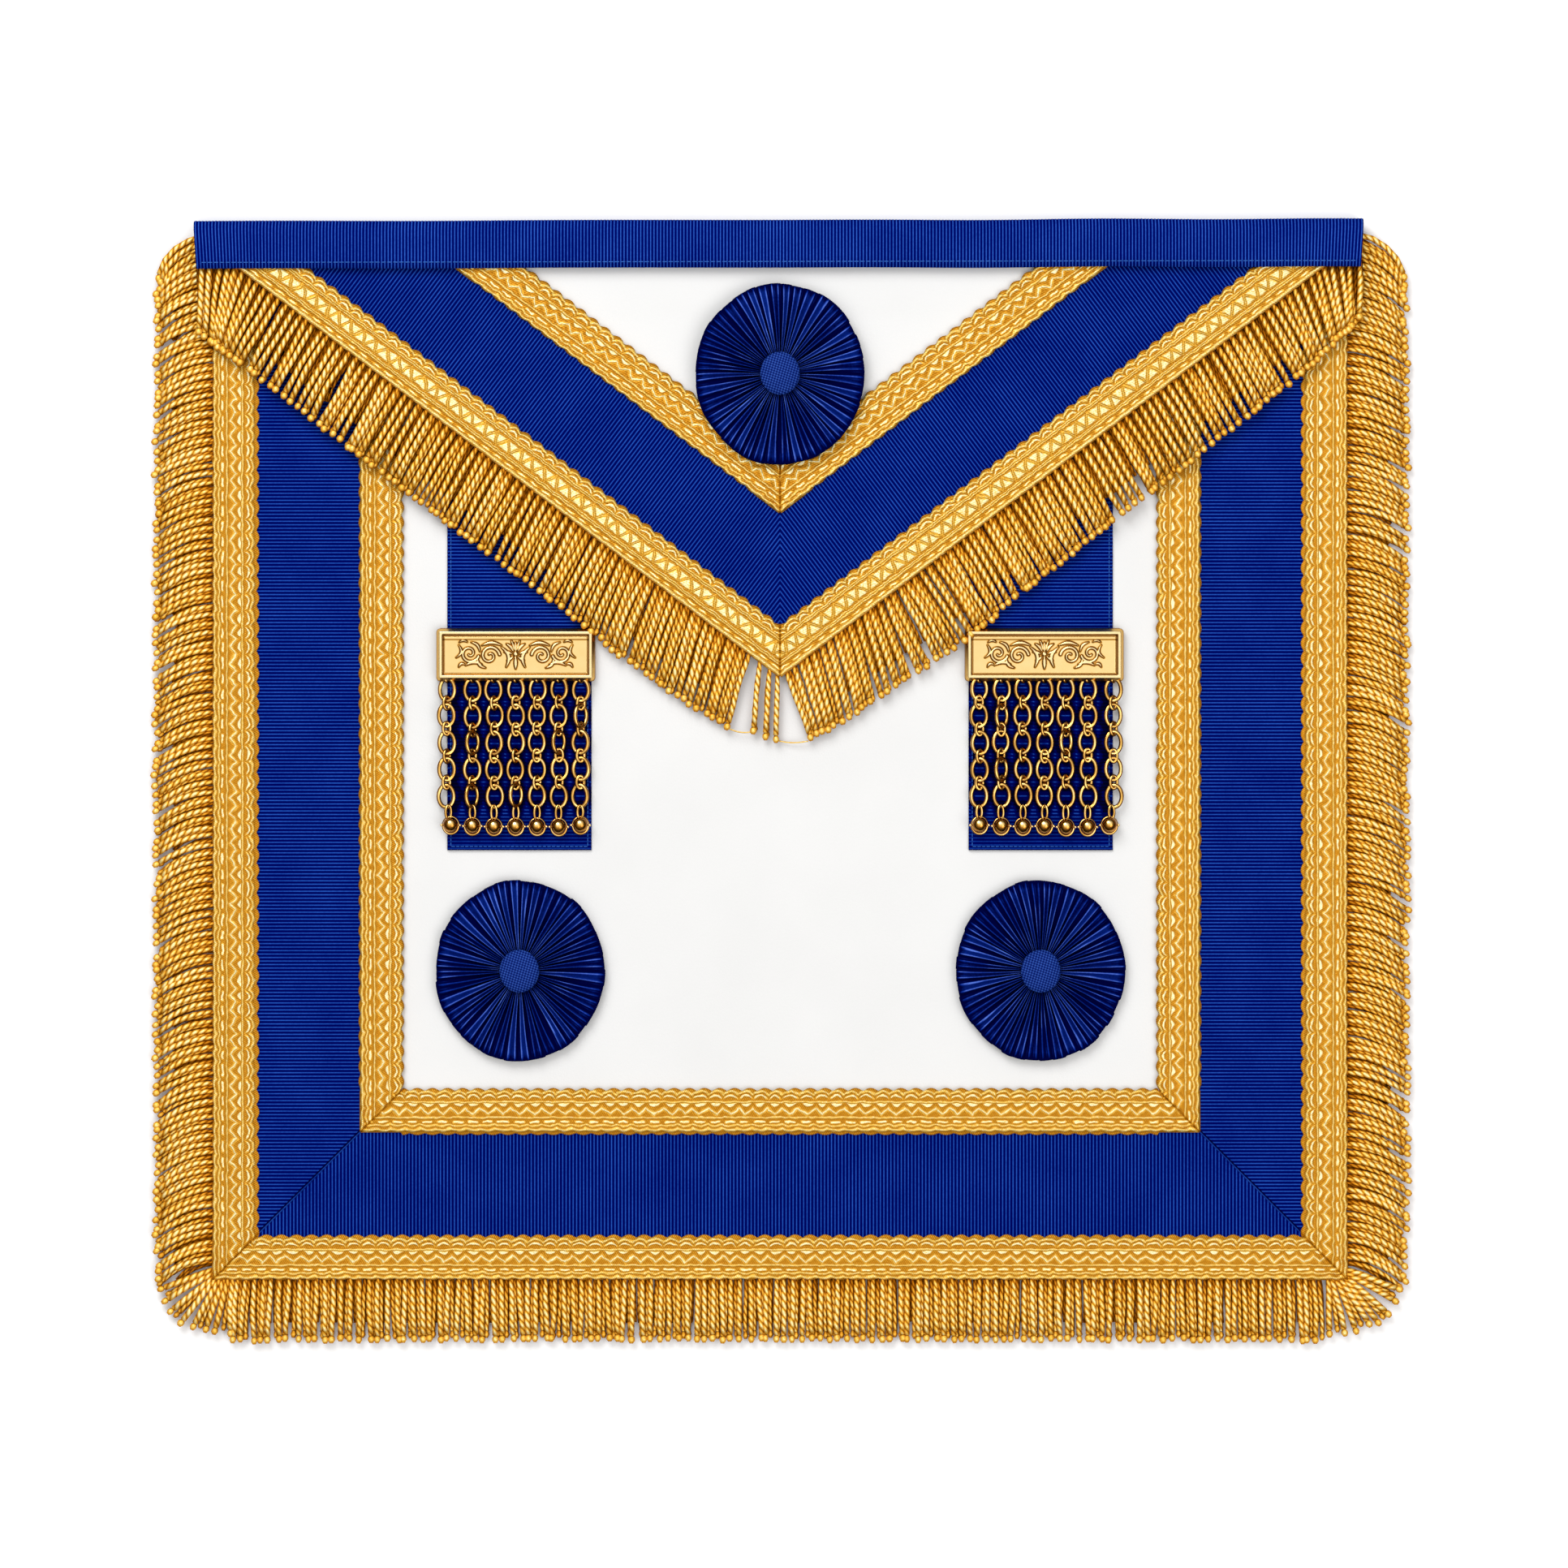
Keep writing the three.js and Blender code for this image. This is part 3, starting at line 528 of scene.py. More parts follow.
def gold_braid(straight):
    """Woven metal thread: the braid's pattern as painted highlight and shade and as fine relief, with a weave
    of thin threads.
    """
    material, tree, shader = new_material("gold_braid_straight" if straight else "gold_braid")
    u, v, seam = parts(tree, attribute(tree, "place", "Vector"))
    wander = noise(tree, object_point(tree), 170, 1)
    drift = noise(tree, object_point(tree), 420, 1)
    height, bright = braid_pattern(u + wander * 3.0, v + drift * 1.1 - 0.55, straight)
    threads = Maths.sin(u * 9.0 + v * 5.5) * 0.5 + 0.5
    rough = noise(tree, object_point(tree), 1900, 2)
    # The pattern's brightness is painted highlight on the raised cords and painted shade between them.
    shade = (bright * 0.8 + threads * 0.3 + 0.15) * (rough * 1.1 + 0.45) * seam
    paint(tree, shader, shade, GOLD_STOPS)
    thread_gloss(shader)
    bump(tree, shader, height + threads * 0.15, 0.0005, 0.7)
    return material


def ribbon_cloth(name, low, middle, high):
    """Ribbed ribbon: painted shade between the ribs, with a painted highlight along each crest and fine
    threads across. A shade of 0.16 is between the ribs, and below that it goes to black, for the painted
    shadows under the chains."""
    material, tree, shader = new_material(name)
    shade = Sum(tree, attribute(tree, "shade")) * uneven(tree, 60, 0.12) * uneven(tree, 1400, 0.12)
    stops = [(0.0, (0.001, 0.0006, 0.003)), (0.14, low), (0.45, low), (0.72, middle), (1.0, high)]
    paint(tree, shader, shade, stops)
    set_inputs(shader, {"Roughness": 0.55, "Specular IOR Level": 0.0})
    fine = noise(tree, object_point(tree), 4500, 2)
    bump(tree, shader, fine, 0.00008, 0.6)
    return material


def button_cloth():
    """A plain weave at a slant: two sets of threads as crossing waves."""
    material, tree, shader = new_material("button_cloth")
    x, y = (part * 1000 for part in parts(tree, object_point(tree))[:2])
    weave = Maths.sin(x * 4.4 + y * 2.6) * Maths.sin(x * 1.9 - y * 4.4) * 0.5 + 0.5
    stops = [(0.0, (0.0003, 0.003, 0.07)), (0.45, (0.003, 0.018, 0.17)), (1.0, (0.035, 0.1, 0.43))]
    paint(tree, shader, weave * uneven(tree, 300, 0.15), stops)
    set_inputs(shader, {"Roughness": 0.6, "Specular IOR Level": 0.03})
    bump(tree, shader, weave, 0.0002, 0.9)
    return material


def white_skin():
    """Fine white leather: shallow pores and slow mottling."""
    material, tree, shader = new_material("white_skin")
    tone = noise(tree, object_point(tree), 22, 4)
    stops = [(0.3, (0.76, 0.76, 0.757)), (0.7, (0.79, 0.79, 0.787))]
    paint(tree, shader, tone, stops)
    set_inputs(shader, {"Roughness": 0.62, "Specular IOR Level": 0.25})
    cells = tree.nodes.new("ShaderNodeTexVoronoi")
    cells.inputs["Scale"].default_value = 1300
    tree.links.new(object_point(tree), cells.inputs["Vector"])
    bump(tree, shader, Sum(tree, cells.outputs[0]), 0.00008, 0.35)
    return material


def cast_metal(name, roughness, tone=1.0):
    """Gilt metal coloured by the shade attribute: painted highlight where it stands out, and dark brown
    painted shade in its recesses and at its sides.
    """
    material, tree, shader = new_material(name)
    shade = Sum(tree, attribute(tree, "shade")) * uneven(tree, 260, 0.05)
    stops = [(0.0, (0.07, 0.02, 0.002)), (0.35, (0.42, 0.18, 0.025)), (0.7, (0.86, 0.52, 0.14)),
             (1.0, (1.0, 0.8, 0.42))]
    stops = [(at, tuple(tone * part for part in colour)) for at, colour in stops]
    paint(tree, shader, shade, stops)
    set_inputs(shader, {"Metallic": 1.0, "Roughness": roughness})
    fine = noise(tree, object_point(tree), 900, 3)
    bump(tree, shader, fine, 0.00004, 0.3)
    return material


BLUE_LOW, BLUE_MIDDLE, BLUE_HIGH = (0.0001, 0.0012, 0.088), (0.0008, 0.014, 0.19), (0.019, 0.09, 0.46)
thread = gold_thread()
braid_scalloped = gold_braid(False)
braid_straight = gold_braid(True)
ribbon_blue = ribbon_cloth("ribbon_blue", BLUE_LOW, BLUE_MIDDLE, BLUE_HIGH)
band_blue = ribbon_cloth("band_blue", (0.0002, 0.0018, 0.1), (0.001, 0.019, 0.222), (0.031, 0.118, 0.54))
rosette_blue = ribbon_cloth("rosette_blue", (0.0002, 0.0008, 0.037), (0.0028, 0.022, 0.25),
                            (0.09, 0.18, 0.66))
stitch_blue = ribbon_cloth("stitch_blue", BLUE_MIDDLE, (0.01, 0.07, 0.36), (0.05, 0.17, 0.6))
woven_blue = button_cloth()
leather = white_skin()
gilt = cast_metal("gilt", 0.13)
gilt_satin = cast_metal("gilt_satin", 0.27, 0.87)


# Camera, light and floor


def add_camera():
    """Straight above, framed on the picture's middle."""
    lens, sensor, across = 135.0, 36.0, 552.0
    data = bpy.data.cameras.new("camera")
    data.lens, data.sensor_width = lens, sensor
    data.clip_end = 10
    camera = bpy.data.objects.new("camera", data)
    x, y = picture_middle
    camera.location = (x * MM, y * MM, (across * lens / sensor + 3) * MM)
    bpy.context.scene.collection.objects.link(camera)
    bpy.context.scene.camera = camera


def add_floor():
    """A matt white ground just under the part, with a little light of its own."""
    mesh = bpy.data.meshes.new("floor")
    reach = 4.0
    low = -0.0003
    corner = [(-reach, -reach, low), (reach, -reach, low), (reach, reach, low), (-reach, reach, low)]
    mesh.from_pydata(corner, [], [(0, 1, 2, 3)])
    floor = bpy.data.objects.new("floor", mesh)
    bpy.context.scene.collection.objects.link(floor)
    material, tree, shader = new_material("floor_white")
    set_inputs(shader, {"Base Color": (0.95, 0.95, 0.95, 1), "Roughness": 0.9,
                        "Emission Color": (1, 1, 1, 1), "Emission Strength": 0.05})
    mesh.materials.append(material)


def add_light():
    """A sky that is bright overhead and nearly black at the horizon, so that curved metal shows a light
    core between dark edges, with one large lamp behind the waistband and a weak one before it."""
    world = bpy.data.worlds.new("studio")
    bpy.context.scene.world = world
    world.use_nodes = True
    tree = world.node_tree
    tree.nodes.clear()
    output = tree.nodes.new("ShaderNodeOutputWorld")
    sky = tree.nodes.new("ShaderNodeBackground")
    split = tree.nodes.new("ShaderNodeSeparateXYZ")
    tree.links.new(tree.nodes.new("ShaderNodeTexCoord").outputs["Generated"], split.inputs[0])
    stops = [(0.0, (0.06, 0.05, 0.045)), (0.35, (0.12, 0.11, 0.1)), (0.62, (0.6, 0.59, 0.58)),
             (0.85, (1.0, 1.0, 1.0)), (0.97, (1.2, 1.19, 1.16))]
    tree.links.new(ramp(tree, split.outputs[2], stops), sky.inputs[0])
    sky.inputs[1].default_value = 1.0
    tree.links.new(sky.outputs[0], output.inputs[0])
    for name, place, size, watts in (
        ("key", (-0.55, 1.15, 1.4), 1.1, 19.0),
        ("fill", (0.9, -0.6, 1.6), 1.2, 8.0),
    ):
        data = bpy.data.lights.new(name, "AREA")
        data.size, data.energy = size, watts
        lamp = bpy.data.objects.new(name, data)
        lamp.location = place
        lamp.rotation_euler = Vector(place).to_track_quat("Z", "Y").to_euler()
        bpy.context.scene.collection.objects.link(lamp)
    bpy.context.scene.view_settings.view_transform = "Standard"


# Skins


def add_skins():
    """Thin plates between straight sides. A skin's top is its underside plus the leather's thickness and
    a slow ripple, and it rounds down by 0.4 mm at its sides and its lower edge. The flap narrows evenly
    to its tip."""
    across = np.linspace(0, 1, 61)

    def skin_piece(name, rows, half, under):
        left = np.stack([-half(rows), rows], 1)
        right = np.stack([half(rows), rows], 1)

        def top(x, y):
            edge = np.minimum(np.abs(half(y) - np.abs(x)), y - rows[0])
            return under(y) + skin + ripple(x, y, 47, 0.12) - 0.4 * np.clip(1 - edge / 0.9, 0, 1) ** 2

        shape = Shape().loft(plate(left, right, across, lambda x, y: under(y) + 0 * x, top))
        piece = shape.piece(name + "_leather", [name], leather, "skin")
        lay(left, right, 2 * half_panel, rows[-1] - rows[0])

    skin_piece("panel_skin", np.linspace(panel_y, tuck_y, 61), lambda y: half_panel + 0 * y, lift)
    rows = np.concatenate([np.linspace(tip_y + 0.3, tip_y + 12, 8), np.linspace(tip_y + 14, tuck_y, 60)])
    skin_piece("flap_skin", rows, lambda y: np.minimum((y - tip_y) / flap_slope, half_panel), under_flap)


# Ribbons


def border_edges(outer, inner, seam=0.01):
    """Edges of a left border strip and of the bottom strip, both mitred, by distance along."""

    def left_edges(y):
        reach = np.clip(y - panel_y - seam, outer + 0.02, inner)
        left = np.stack([np.full_like(y, outer - half_panel), y], 1)
        return left, np.stack([reach - half_panel, y], 1)

    def bottom_edges(x):
        reach = np.clip(half_panel - np.abs(x) - seam, outer + 0.02, inner)
        low = np.stack([x, np.full_like(x, panel_y + outer)], 1)
        return low, np.stack([x, panel_y + reach], 1)

    return left_edges, bottom_edges


def flap_point(s, t):
    """The point s up the flap's left edge from its tip and t square to it, inwards."""
    x = (-s + flap_slope * t) / flap_stretch
    y = tip_y + (flap_slope * s + t) / flap_stretch
    return np.stack([x, y], -1)


def flap_edges(outer, inner, seam=0.01):
    """Edges of a left flap strip by the distance s: mitred at the tip, cut level under the waistband and
    trimmed to the panel's side."""

    def edges(s):
        inner_end = np.minimum(inner, (s - seam * flap_stretch) / flap_slope)
        inner_end = np.minimum(inner_end, flap_stretch * (band_y + 6 - tip_y) - flap_slope * s)
        outer_end = np.maximum(outer, (s - (half_panel - 0.3) * flap_stretch) / flap_slope)
        inner_end = np.maximum(inner_end, outer_end + 0.02)
        return flap_point(s, outer_end), flap_point(s, inner_end)

    return edges


def flap_span(outer):
    """The first and last distance s that a flap strip reaches."""
    last = (flap_stretch * (band_y + 6 - tip_y) - outer) / flap_slope
    edge = (half_panel - 0.4) * flap_stretch + flap_slope * outer
    return flap_slope * outer + 0.5, min(last, edge)


def add_ribbons():
    """Ribbed strips: three mitred ones round the panel, two that meet at the flap's tip, and the straight
    tassel ribbons, which carry painted shadows of their chains and are stitched along both sides and the
    foot. All of them run on under the braids, the flap or the waistband."""
    hem = 1.5  # the inner braid reaches this far past the ribbon
    outer, inner = 8.3, 2 * braid_width + ribbon_seen - hem
    left_edges, bottom_edges = border_edges(outer, inner)

    def on_panel(x, y):
        return ribbon_z + lift(y)

    span = (panel_y + outer + 0.2, tuck_y)
    rings, shade = ribbed(span, left_edges, 9, on_panel)
    pair("border_ribbon_", rings, shade, None, "_ribbed", ribbon_blue, "ribbon", inner - outer)
    span = (outer - half_panel + 0.2, half_panel - outer - 0.2)
    rings, shade = ribbed(span, bottom_edges, 9, on_panel)
    shape = Shape().loft(rings, shade)
    reach = np.linspace(outer, inner, 41)
    for side in (-1, 1):  # the mitre's raised seam
        seam_z = 0 * reach + ribbon_z + cloth + 0.05
        seam = np.stack([side * (half_panel - reach), panel_y + reach, seam_z], 1)
        shape.loft(tube(seam, np.full(41, 0.26), 6), 0.8)
        # The second, dark tube beside the seam is its painted shadow.
        shape.loft(tube(seam + (side * 0.5, 0.1, -0.05), np.full(41, 0.3), 6), 0.05)
    strip(shape, rings, "border_ribbon_bottom", "_ribbed", ribbon_blue, "ribbon", inner - outer)

    def on_flap(x, y):
        return under_flap(y) + skin + gap

    inner = flap_braid_width + flap_ribbon_seen + braid_width - hem
    rings, shade = ribbed(flap_span(outer), flap_edges(outer, inner), 9, on_flap, depth=0.18)
    pair("flap_ribbon_", rings, shade, None, "_ribbed", ribbon_blue, "ribbon", inner - outer)

    for end in ("left", "right"):
        name = "tassel_ribbon_" + end
        low, high = corners(name)

        def side_edges(y):
            return [np.stack([np.full_like(y, x), y], 1) for x in (low[0], high[0])]

        rings, shade = ribbed((low[1], tuck_y), side_edges, 81, on_panel, fall=0.35)
        shade = shade * chain_shadow(end, rings[..., 0], rings[..., 1])
        strip(Shape().loft(rings, shade), rings, name, "_ribbed", ribbon_blue, "ribbon", high[0] - low[0])
        shape = Shape()
        inset, pitch = 1.3, 1.6

        def on_ribbon(x, y):
            return ribbon_z + cloth + lift(y)

        for x in (low[0] + inset, high[0] - inset):
            stitch_row(shape, (x, low[1] + inset), (x, band_y), pitch, on_ribbon)
        foot = low[1] + inset
        stitch_row(shape, (low[0] + inset, foot), (high[0] - inset, foot), pitch, on_ribbon)
        shape.piece("tassel_stitches_" + end, [], stitch_blue, "ribbon")


def chain_places(end):
    """The middles of a tassel's seven chains, the first link's height on the page and the links' pitch."""
    middles = [sum(corners(f"tassel_chain_{end}_{number}"))[0] / 2 for number in range(1, 8)]
    return middles, corners("tassel_bar_" + end)[0][1] - 2.9, 9.35


def chain_shadow(end, x, y):
    """How much light reaches the ribbon between and inside the links: none near a link's oval, more away
    from it, and all of it past the bar and the balls."""
    middles, first, pitch = chain_places(end)
    nearest = np.full(x.shape, 9.0)
    for middle in middles:
        for step in range(5):
            oval = np.hypot((x - middle) / 3.1, (y - first + step * pitch) / 4.2)
            ring = np.hypot((x - middle) / 1.5, (y - first + (step + 0.5) * pitch) / 2.2)
            nearest = np.minimum(nearest, np.minimum(abs(oval - 1) * 3.1, abs(ring - 1) * 1.5))
    lit = 0.05 + 0.95 * np.clip((nearest - 0.75) / 0.9, 0, 1)
    below = np.clip((first - 4.6 * pitch - y) / 5, 0, 1)
    above = y > first + 9
    return np.where(above, 1.0, lit + (0.85 - lit) * below)


def stitch_row(shape, start, end, pitch, height, shade=0.9):
    """Short thread stitches in a row: each dips into the cloth at both ends."""
    start, end = np.array(start, float), np.array(end, float)
    length = np.linalg.norm(end - start)
    count = int(length / pitch)
    share = np.linspace(0, 1, 5)
    at = (np.arange(count)[:, None] + 0.12 + 0.76 * share[None]) / count
    flat = start + at[..., None] * (end - start)
    rise = 0.13 * np.sin(np.pi * share) - 0.06
    path = np.dstack([flat, height(flat[..., 0], flat[..., 1]) + rise])
    rings = tube(path, np.full(path.shape[:2], 0.15), 5)
    shape.loft(rings, shade)


def add_waistband():
    """A folded ribbon carried along the waist: its section is a U that lies on its side, and each rib
    pushes the outer face out a little. It is cut at a slight slant at both ends and widens to the left."""
    inside = cloth + gap + flap_z + 3 * gap + skin + 2 * cloth
    radius = (inside + cloth) / 2
    pitch = 1.17
    fold = top_y - radius
    turn = np.linspace(-np.pi / 2, np.pi / 2, 11)
    legs = np.linspace(band_y, fold, 4)[:-1]
    tail = np.linspace(fold, band_y, 4)[1:]

    def section(reach):
        arc = np.stack([fold + reach * np.cos(turn), radius + reach * np.sin(turn)], 1)
        low = np.stack([legs, np.full(3, radius - reach)], 1)
        high = np.stack([tail, np.full(3, radius + reach)], 1)
        return np.concatenate([low, arc, high])

    rows = int(round((band_high[0] - band_low[0]) / (pitch / 2)))
    left, right = band_low[0] + 0.3, band_high[0] - 1.3
    x = np.linspace(left, right, rows + 1)
    crest = (np.arange(rows + 1) % 2).astype(float)
    outer, crown, inner = section(radius - 0.16), section(radius), section(radius - cloth)
    faces = outer[None] + (crown - outer)[None] * crest[:, None, None]
    faces = np.concatenate([faces, np.broadcast_to(inner[::-1], (rows + 1, *inner.shape))], 1)
    low_share = (fold - faces[..., 0]) / (fold - band_y)
    wider = np.interp(x, [left, right], [0.8, 0.1])[:, None] * low_share
    slant = np.interp(x, [left, left + 30, right - 30, right], [0.8, 0, 0, -0.8])[:, None] * low_share
    drift = ripple(x, 0 * x, 90, 0.25)[:, None] * np.ones(faces.shape[1])
    sunk = np.interp(x, [left, right], [0.8, 0])[:, None] * (1 - low_share)
    rings = np.stack([x[:, None] + slant, faces[..., 0] + drift - wider - sunk, faces[..., 1]], -1)
    rings[..., 2] = np.maximum(rings[..., 2], 0)
    # Painted shade between the ribs and a painted highlight on each crest.
    shade = groove_shade + (1 - groove_shade) * np.repeat(crest[:, None], faces.shape[1], 1)
    piece = Shape().loft(rings, shade).piece("waistband_ribbed", ["waistband"], band_blue, "ribbon")
    wide = 2 * (fold - band_y) + np.pi * (radius - cloth / 2)
    wide * MM
    shape = Shape()
    y = band_y + 2.0
    stitch_row(shape, (left + 2.5, y - 0.7), (right - 2.5, y), 2.1, lambda x, y: 2 * radius + 0 * x, 0.95)
    shape.piece("waistband_stitches", [], stitch_blue, "ribbon")


# Braid

BRAID_COLUMNS = np.linspace(0, 1, 31)


def braid_strip(spine, edges_of, width, under, place_of, seam_of, straight=False, fuller=(0.0, 0.0)):
    """A braid: rows a ninth of its pitch apart, each from its outer to its inner edge. Its height follows
    the braid's pattern, its edges bow out between the pinches, and it darkens at its mitre. fuller is how
    far its outer and its inner edge reach past the given ones."""
    rows = int((spine[1] - spine[0]) / (braid_pitch / 9))
    along = np.linspace(*spine, rows + 1)
    left, right = edges_of(along)
    reach = np.linalg.norm(right - left, axis=1, keepdims=True) + 1e-9
    full = np.clip(reach / width, 0, 1)
    aim = (right - left) / reach
    pinch = (1 - np.abs(np.cos(np.pi * along / braid_pitch)))[:, None] * (full > 0.98)
    if not straight:
        left = left + aim * (pinch * 0.7 - fuller[0]) * (full > 0.98)
    right = right + aim * (0.5 + fuller[1] - pinch * 1.1) * (full > 0.98)

    def top(x, y):
        u, v = place_of(x, y)
        height, _ = braid_pattern(u, v * (braid_width / width), straight)
        edge = np.clip((width / 2 - np.abs(v)) / 0.7, 0, 1)
        return under(x, y) + (0.55 + 0.6 * height) * (0.45 + 0.55 * edge)

    rings = plate(left, right, BRAID_COLUMNS, under, top)
    u, v = place_of(rings[..., 0], rings[..., 1])
    seam = 0.25 + 0.75 * np.clip(np.abs(seam_of(rings[..., 0], rings[..., 1])) / 0.7, 0, 1)
    return rings, np.stack([u, v * (braid_width / width), seam], -1)


def add_braids():
    """Braids on top of the ribbons, round the panel and along the flap. The pattern's place is the
    distance along a strip and across it from its middle, and it darkens where two strips meet."""
    def on_panel(x, y):
        return braid_z + lift(y)

    def mitre(x, y):
        return (half_panel - np.abs(x) - (y - panel_y)) / math.sqrt(2)

    for name, outer, side_fuller, bottom_fuller in (
        ("outer_braid_", 0.0, (0.0, 1.0), (0.0, 0.4)),
        ("inner_braid_", braid_width + ribbon_seen, (0.4, 0.0), (0.9, 0.0)),
    ):
        inner = outer + braid_width
        middle = (outer + inner) / 2
        left_edges, bottom_edges = border_edges(outer, inner)
        rings, place = braid_strip((panel_y + outer + 0.3, tuck_y), left_edges, braid_width, on_panel,
                                   lambda x, y: (y, x + half_panel - middle), mitre, fuller=side_fuller)
        pair(name, rings, 1.0, place, "_woven", braid_scalloped, "braid", braid_width)
        span = (outer - half_panel + 0.3, half_panel - outer - 0.3)
        rings, place = braid_strip(span, bottom_edges, braid_width, on_panel,
                                   lambda x, y: (x, y - panel_y - middle), mitre, fuller=bottom_fuller)
        strip(Shape().loft(rings, 1.0, place), rings, name + "bottom", "_woven", braid_scalloped, "braid",
              braid_width)

    def on_flap(x, y):
        return under_flap(y) + skin + cloth + 2 * gap

    ribbon_end = flap_braid_width + flap_ribbon_seen
    for name, outer, width, straight in (
        ("flap_edge_braid_", 0.0, flap_braid_width, True),
        ("flap_inner_braid_", ribbon_end, braid_width, False),
    ):
        middle = outer + width / 2

        def place_of(x, y):
            s = (-x + flap_slope * (y - tip_y)) / flap_stretch
            return s, (flap_slope * x + (y - tip_y)) / flap_stretch - middle

        rings, place = braid_strip(flap_span(outer), flap_edges(outer, outer + width), width, on_flap,
                                   place_of, lambda x, y: x, straight)
        material = braid_straight if straight else braid_scalloped
        pair(name, rings, 1.0, place, "_woven", material, "braid", width)


# Fringe


def strands(shape, root, start, end, length, height, layer, part=0.0, thick=1.0):
    """Strands, each from its root along an arc that turns evenly from start to end, in degrees, to a bead.
    height gives the centre's height for y, the share of the way along and the layer, 0 on top. part
    pushes a strand aside by that much halfway along. A strand is only a few dozen faces: its twist is in
    the material, from the place attribute. Returns the beads' middles."""
    count = len(length)
    rows, sides, knots = STRAND_ROWS[layer]
    share = np.linspace(0, 1, rows)
    size, place = (np.array(knots, float).T if knots else np.zeros((2, 0)))
    bead, hidden, ply_length = 2.7, 2.5, 2.8
    stem = length[:, None] - bead * (len(size) > 0)
    travel = np.concatenate([(stem + hidden) * share[None] - hidden, stem + bead * place[None]], 1)
    turn = np.radians(end - start)[:, None] * travel / length[:, None]
    heading = np.radians(start)[:, None] + turn / 2
    chord = np.sinc(turn / (2 * np.pi))
    sway = chance.uniform(-0.3, 0.3, (count, 1)) * np.sin(
        travel / chance.uniform(2.2, 5.0, (count, 1)) + chance.uniform(0, 6.3, (count, 1)))
    along = np.clip(travel / length[:, None], 0, 1)
    sway = sway * np.clip(travel / 5, 0, 1) + np.reshape(part, (-1, 1)) * np.sin(np.pi * along) ** 2
    x = root[:, :1] + travel * chord * np.cos(heading) - sway * np.sin(heading)
    y = root[:, 1:] + travel * chord * np.sin(heading) + sway * np.cos(heading)
    body = strand_radius * (1.0, 0.86, 0.76)[layer] * thick * np.interp(travel[:, :rows], [0, 3], [0.6, 1.0])
    knot = size[None] * bead_radius * chance.uniform(0.9, 1.08, (count, 1))
    radius = np.concatenate([body, knot], 1)
    z = np.maximum(height(y, along, layer), radius + 0.02)
    rings = tube(np.stack([x, y, z], -1), radius, sides)
    angle = 2 * np.pi * (np.arange(sides) + 0.5) / sides
    twist = travel * (np.pi / ply_length) + chance.uniform(0, 6.3, (count, 1))
    on_stem = (np.arange(travel.shape[1]) < rows)[:, None] * np.ones(sides)
    twist = np.where(on_stem[None, :, 0] > 0, twist, np.pi / 2)
    around = np.broadcast_to(on_stem, rings.shape[:-1])
    ply = np.stack([around * np.cos(angle), around * np.sin(angle),
                    np.broadcast_to(twist[..., None], rings.shape[:-1])], -1)
    # A random tone for each strand, then painted shade: the lower layers are darker, the lowest darkest.
    tone = chance.uniform(0.92, 1.2, (count, 1, 1)) * (1.0, 0.8, 0.35)[layer]
    # Painted shade at the root, where the strand comes out from under the edge above it.
    painted_root_shade = np.clip((0.5, 0.2, 0.1)[layer] + travel / (4, 9, 14)[layer], 0.1, 1)[..., None]
    # Painted shade at the bead's neck and at its far end.
    knot_shade = np.interp(place, [0, 0.3, 0.6, 1], [0.25, 0.75, 0.8, 0.5])
    neck = np.concatenate([np.ones(rows), knot_shade])[:, None]
    shape.loft(rings, tone * painted_root_shade * neck * np.ones(sides), ply)
    return np.stack([x, y, z], -1)[:, -2]


def loose_thread(shape, start, end, sag):
    """A single thread between two beads that hangs by the given sag."""
    share = np.linspace(0, 1, 13)[:, None]
    path = start + (end - start) * share
    path[:, 1] -= sag * np.sin(np.pi * share[:, 0])
    rings = tube(path, np.full(13, 0.26), 5)
    shape.loft(rings, 0.9, np.broadcast_to((0.0, 0.0, np.pi / 2), rings.shape))


def settle(y, share, layer, base, floor):
    """Strands leave a little above the height base, those of the top layer highest, and come down over
    the first 45% of their length to lie on the floor."""
    fall = np.clip(share / 0.45, 0, 1)
    fall = fall * fall * (3 - 2 * fall)
    rest = floor(y) + strand_radius * (2.5, 1.6, 0.85)[layer]
    leave = base(y) + 0.62 + (0.15, 0.0, -0.15)[layer]
    return leave * (1 - fall) + rest * fall


def on_ground(y, share, layer):
    """Height of a strand of the panel's fringe."""
    return settle(y, share, layer, lambda y: ribbon_z + lift(y), lambda y: 0 * y)


def on_apron(y, share, layer):
    """Height of a strand of the flap's fringe."""
    return settle(y, share, layer, lambda y: under_flap(y) + skin + gap, under_flap)


def spread(first, last, pitch, shift=0.5):
    """Evenly spaced places with a little chance in each."""
    count = int(round(abs(last - first) / pitch))
    places = first + (np.arange(count) + shift) * (last - first) / count
    return places + chance.uniform(-0.14, 0.14, count) * pitch


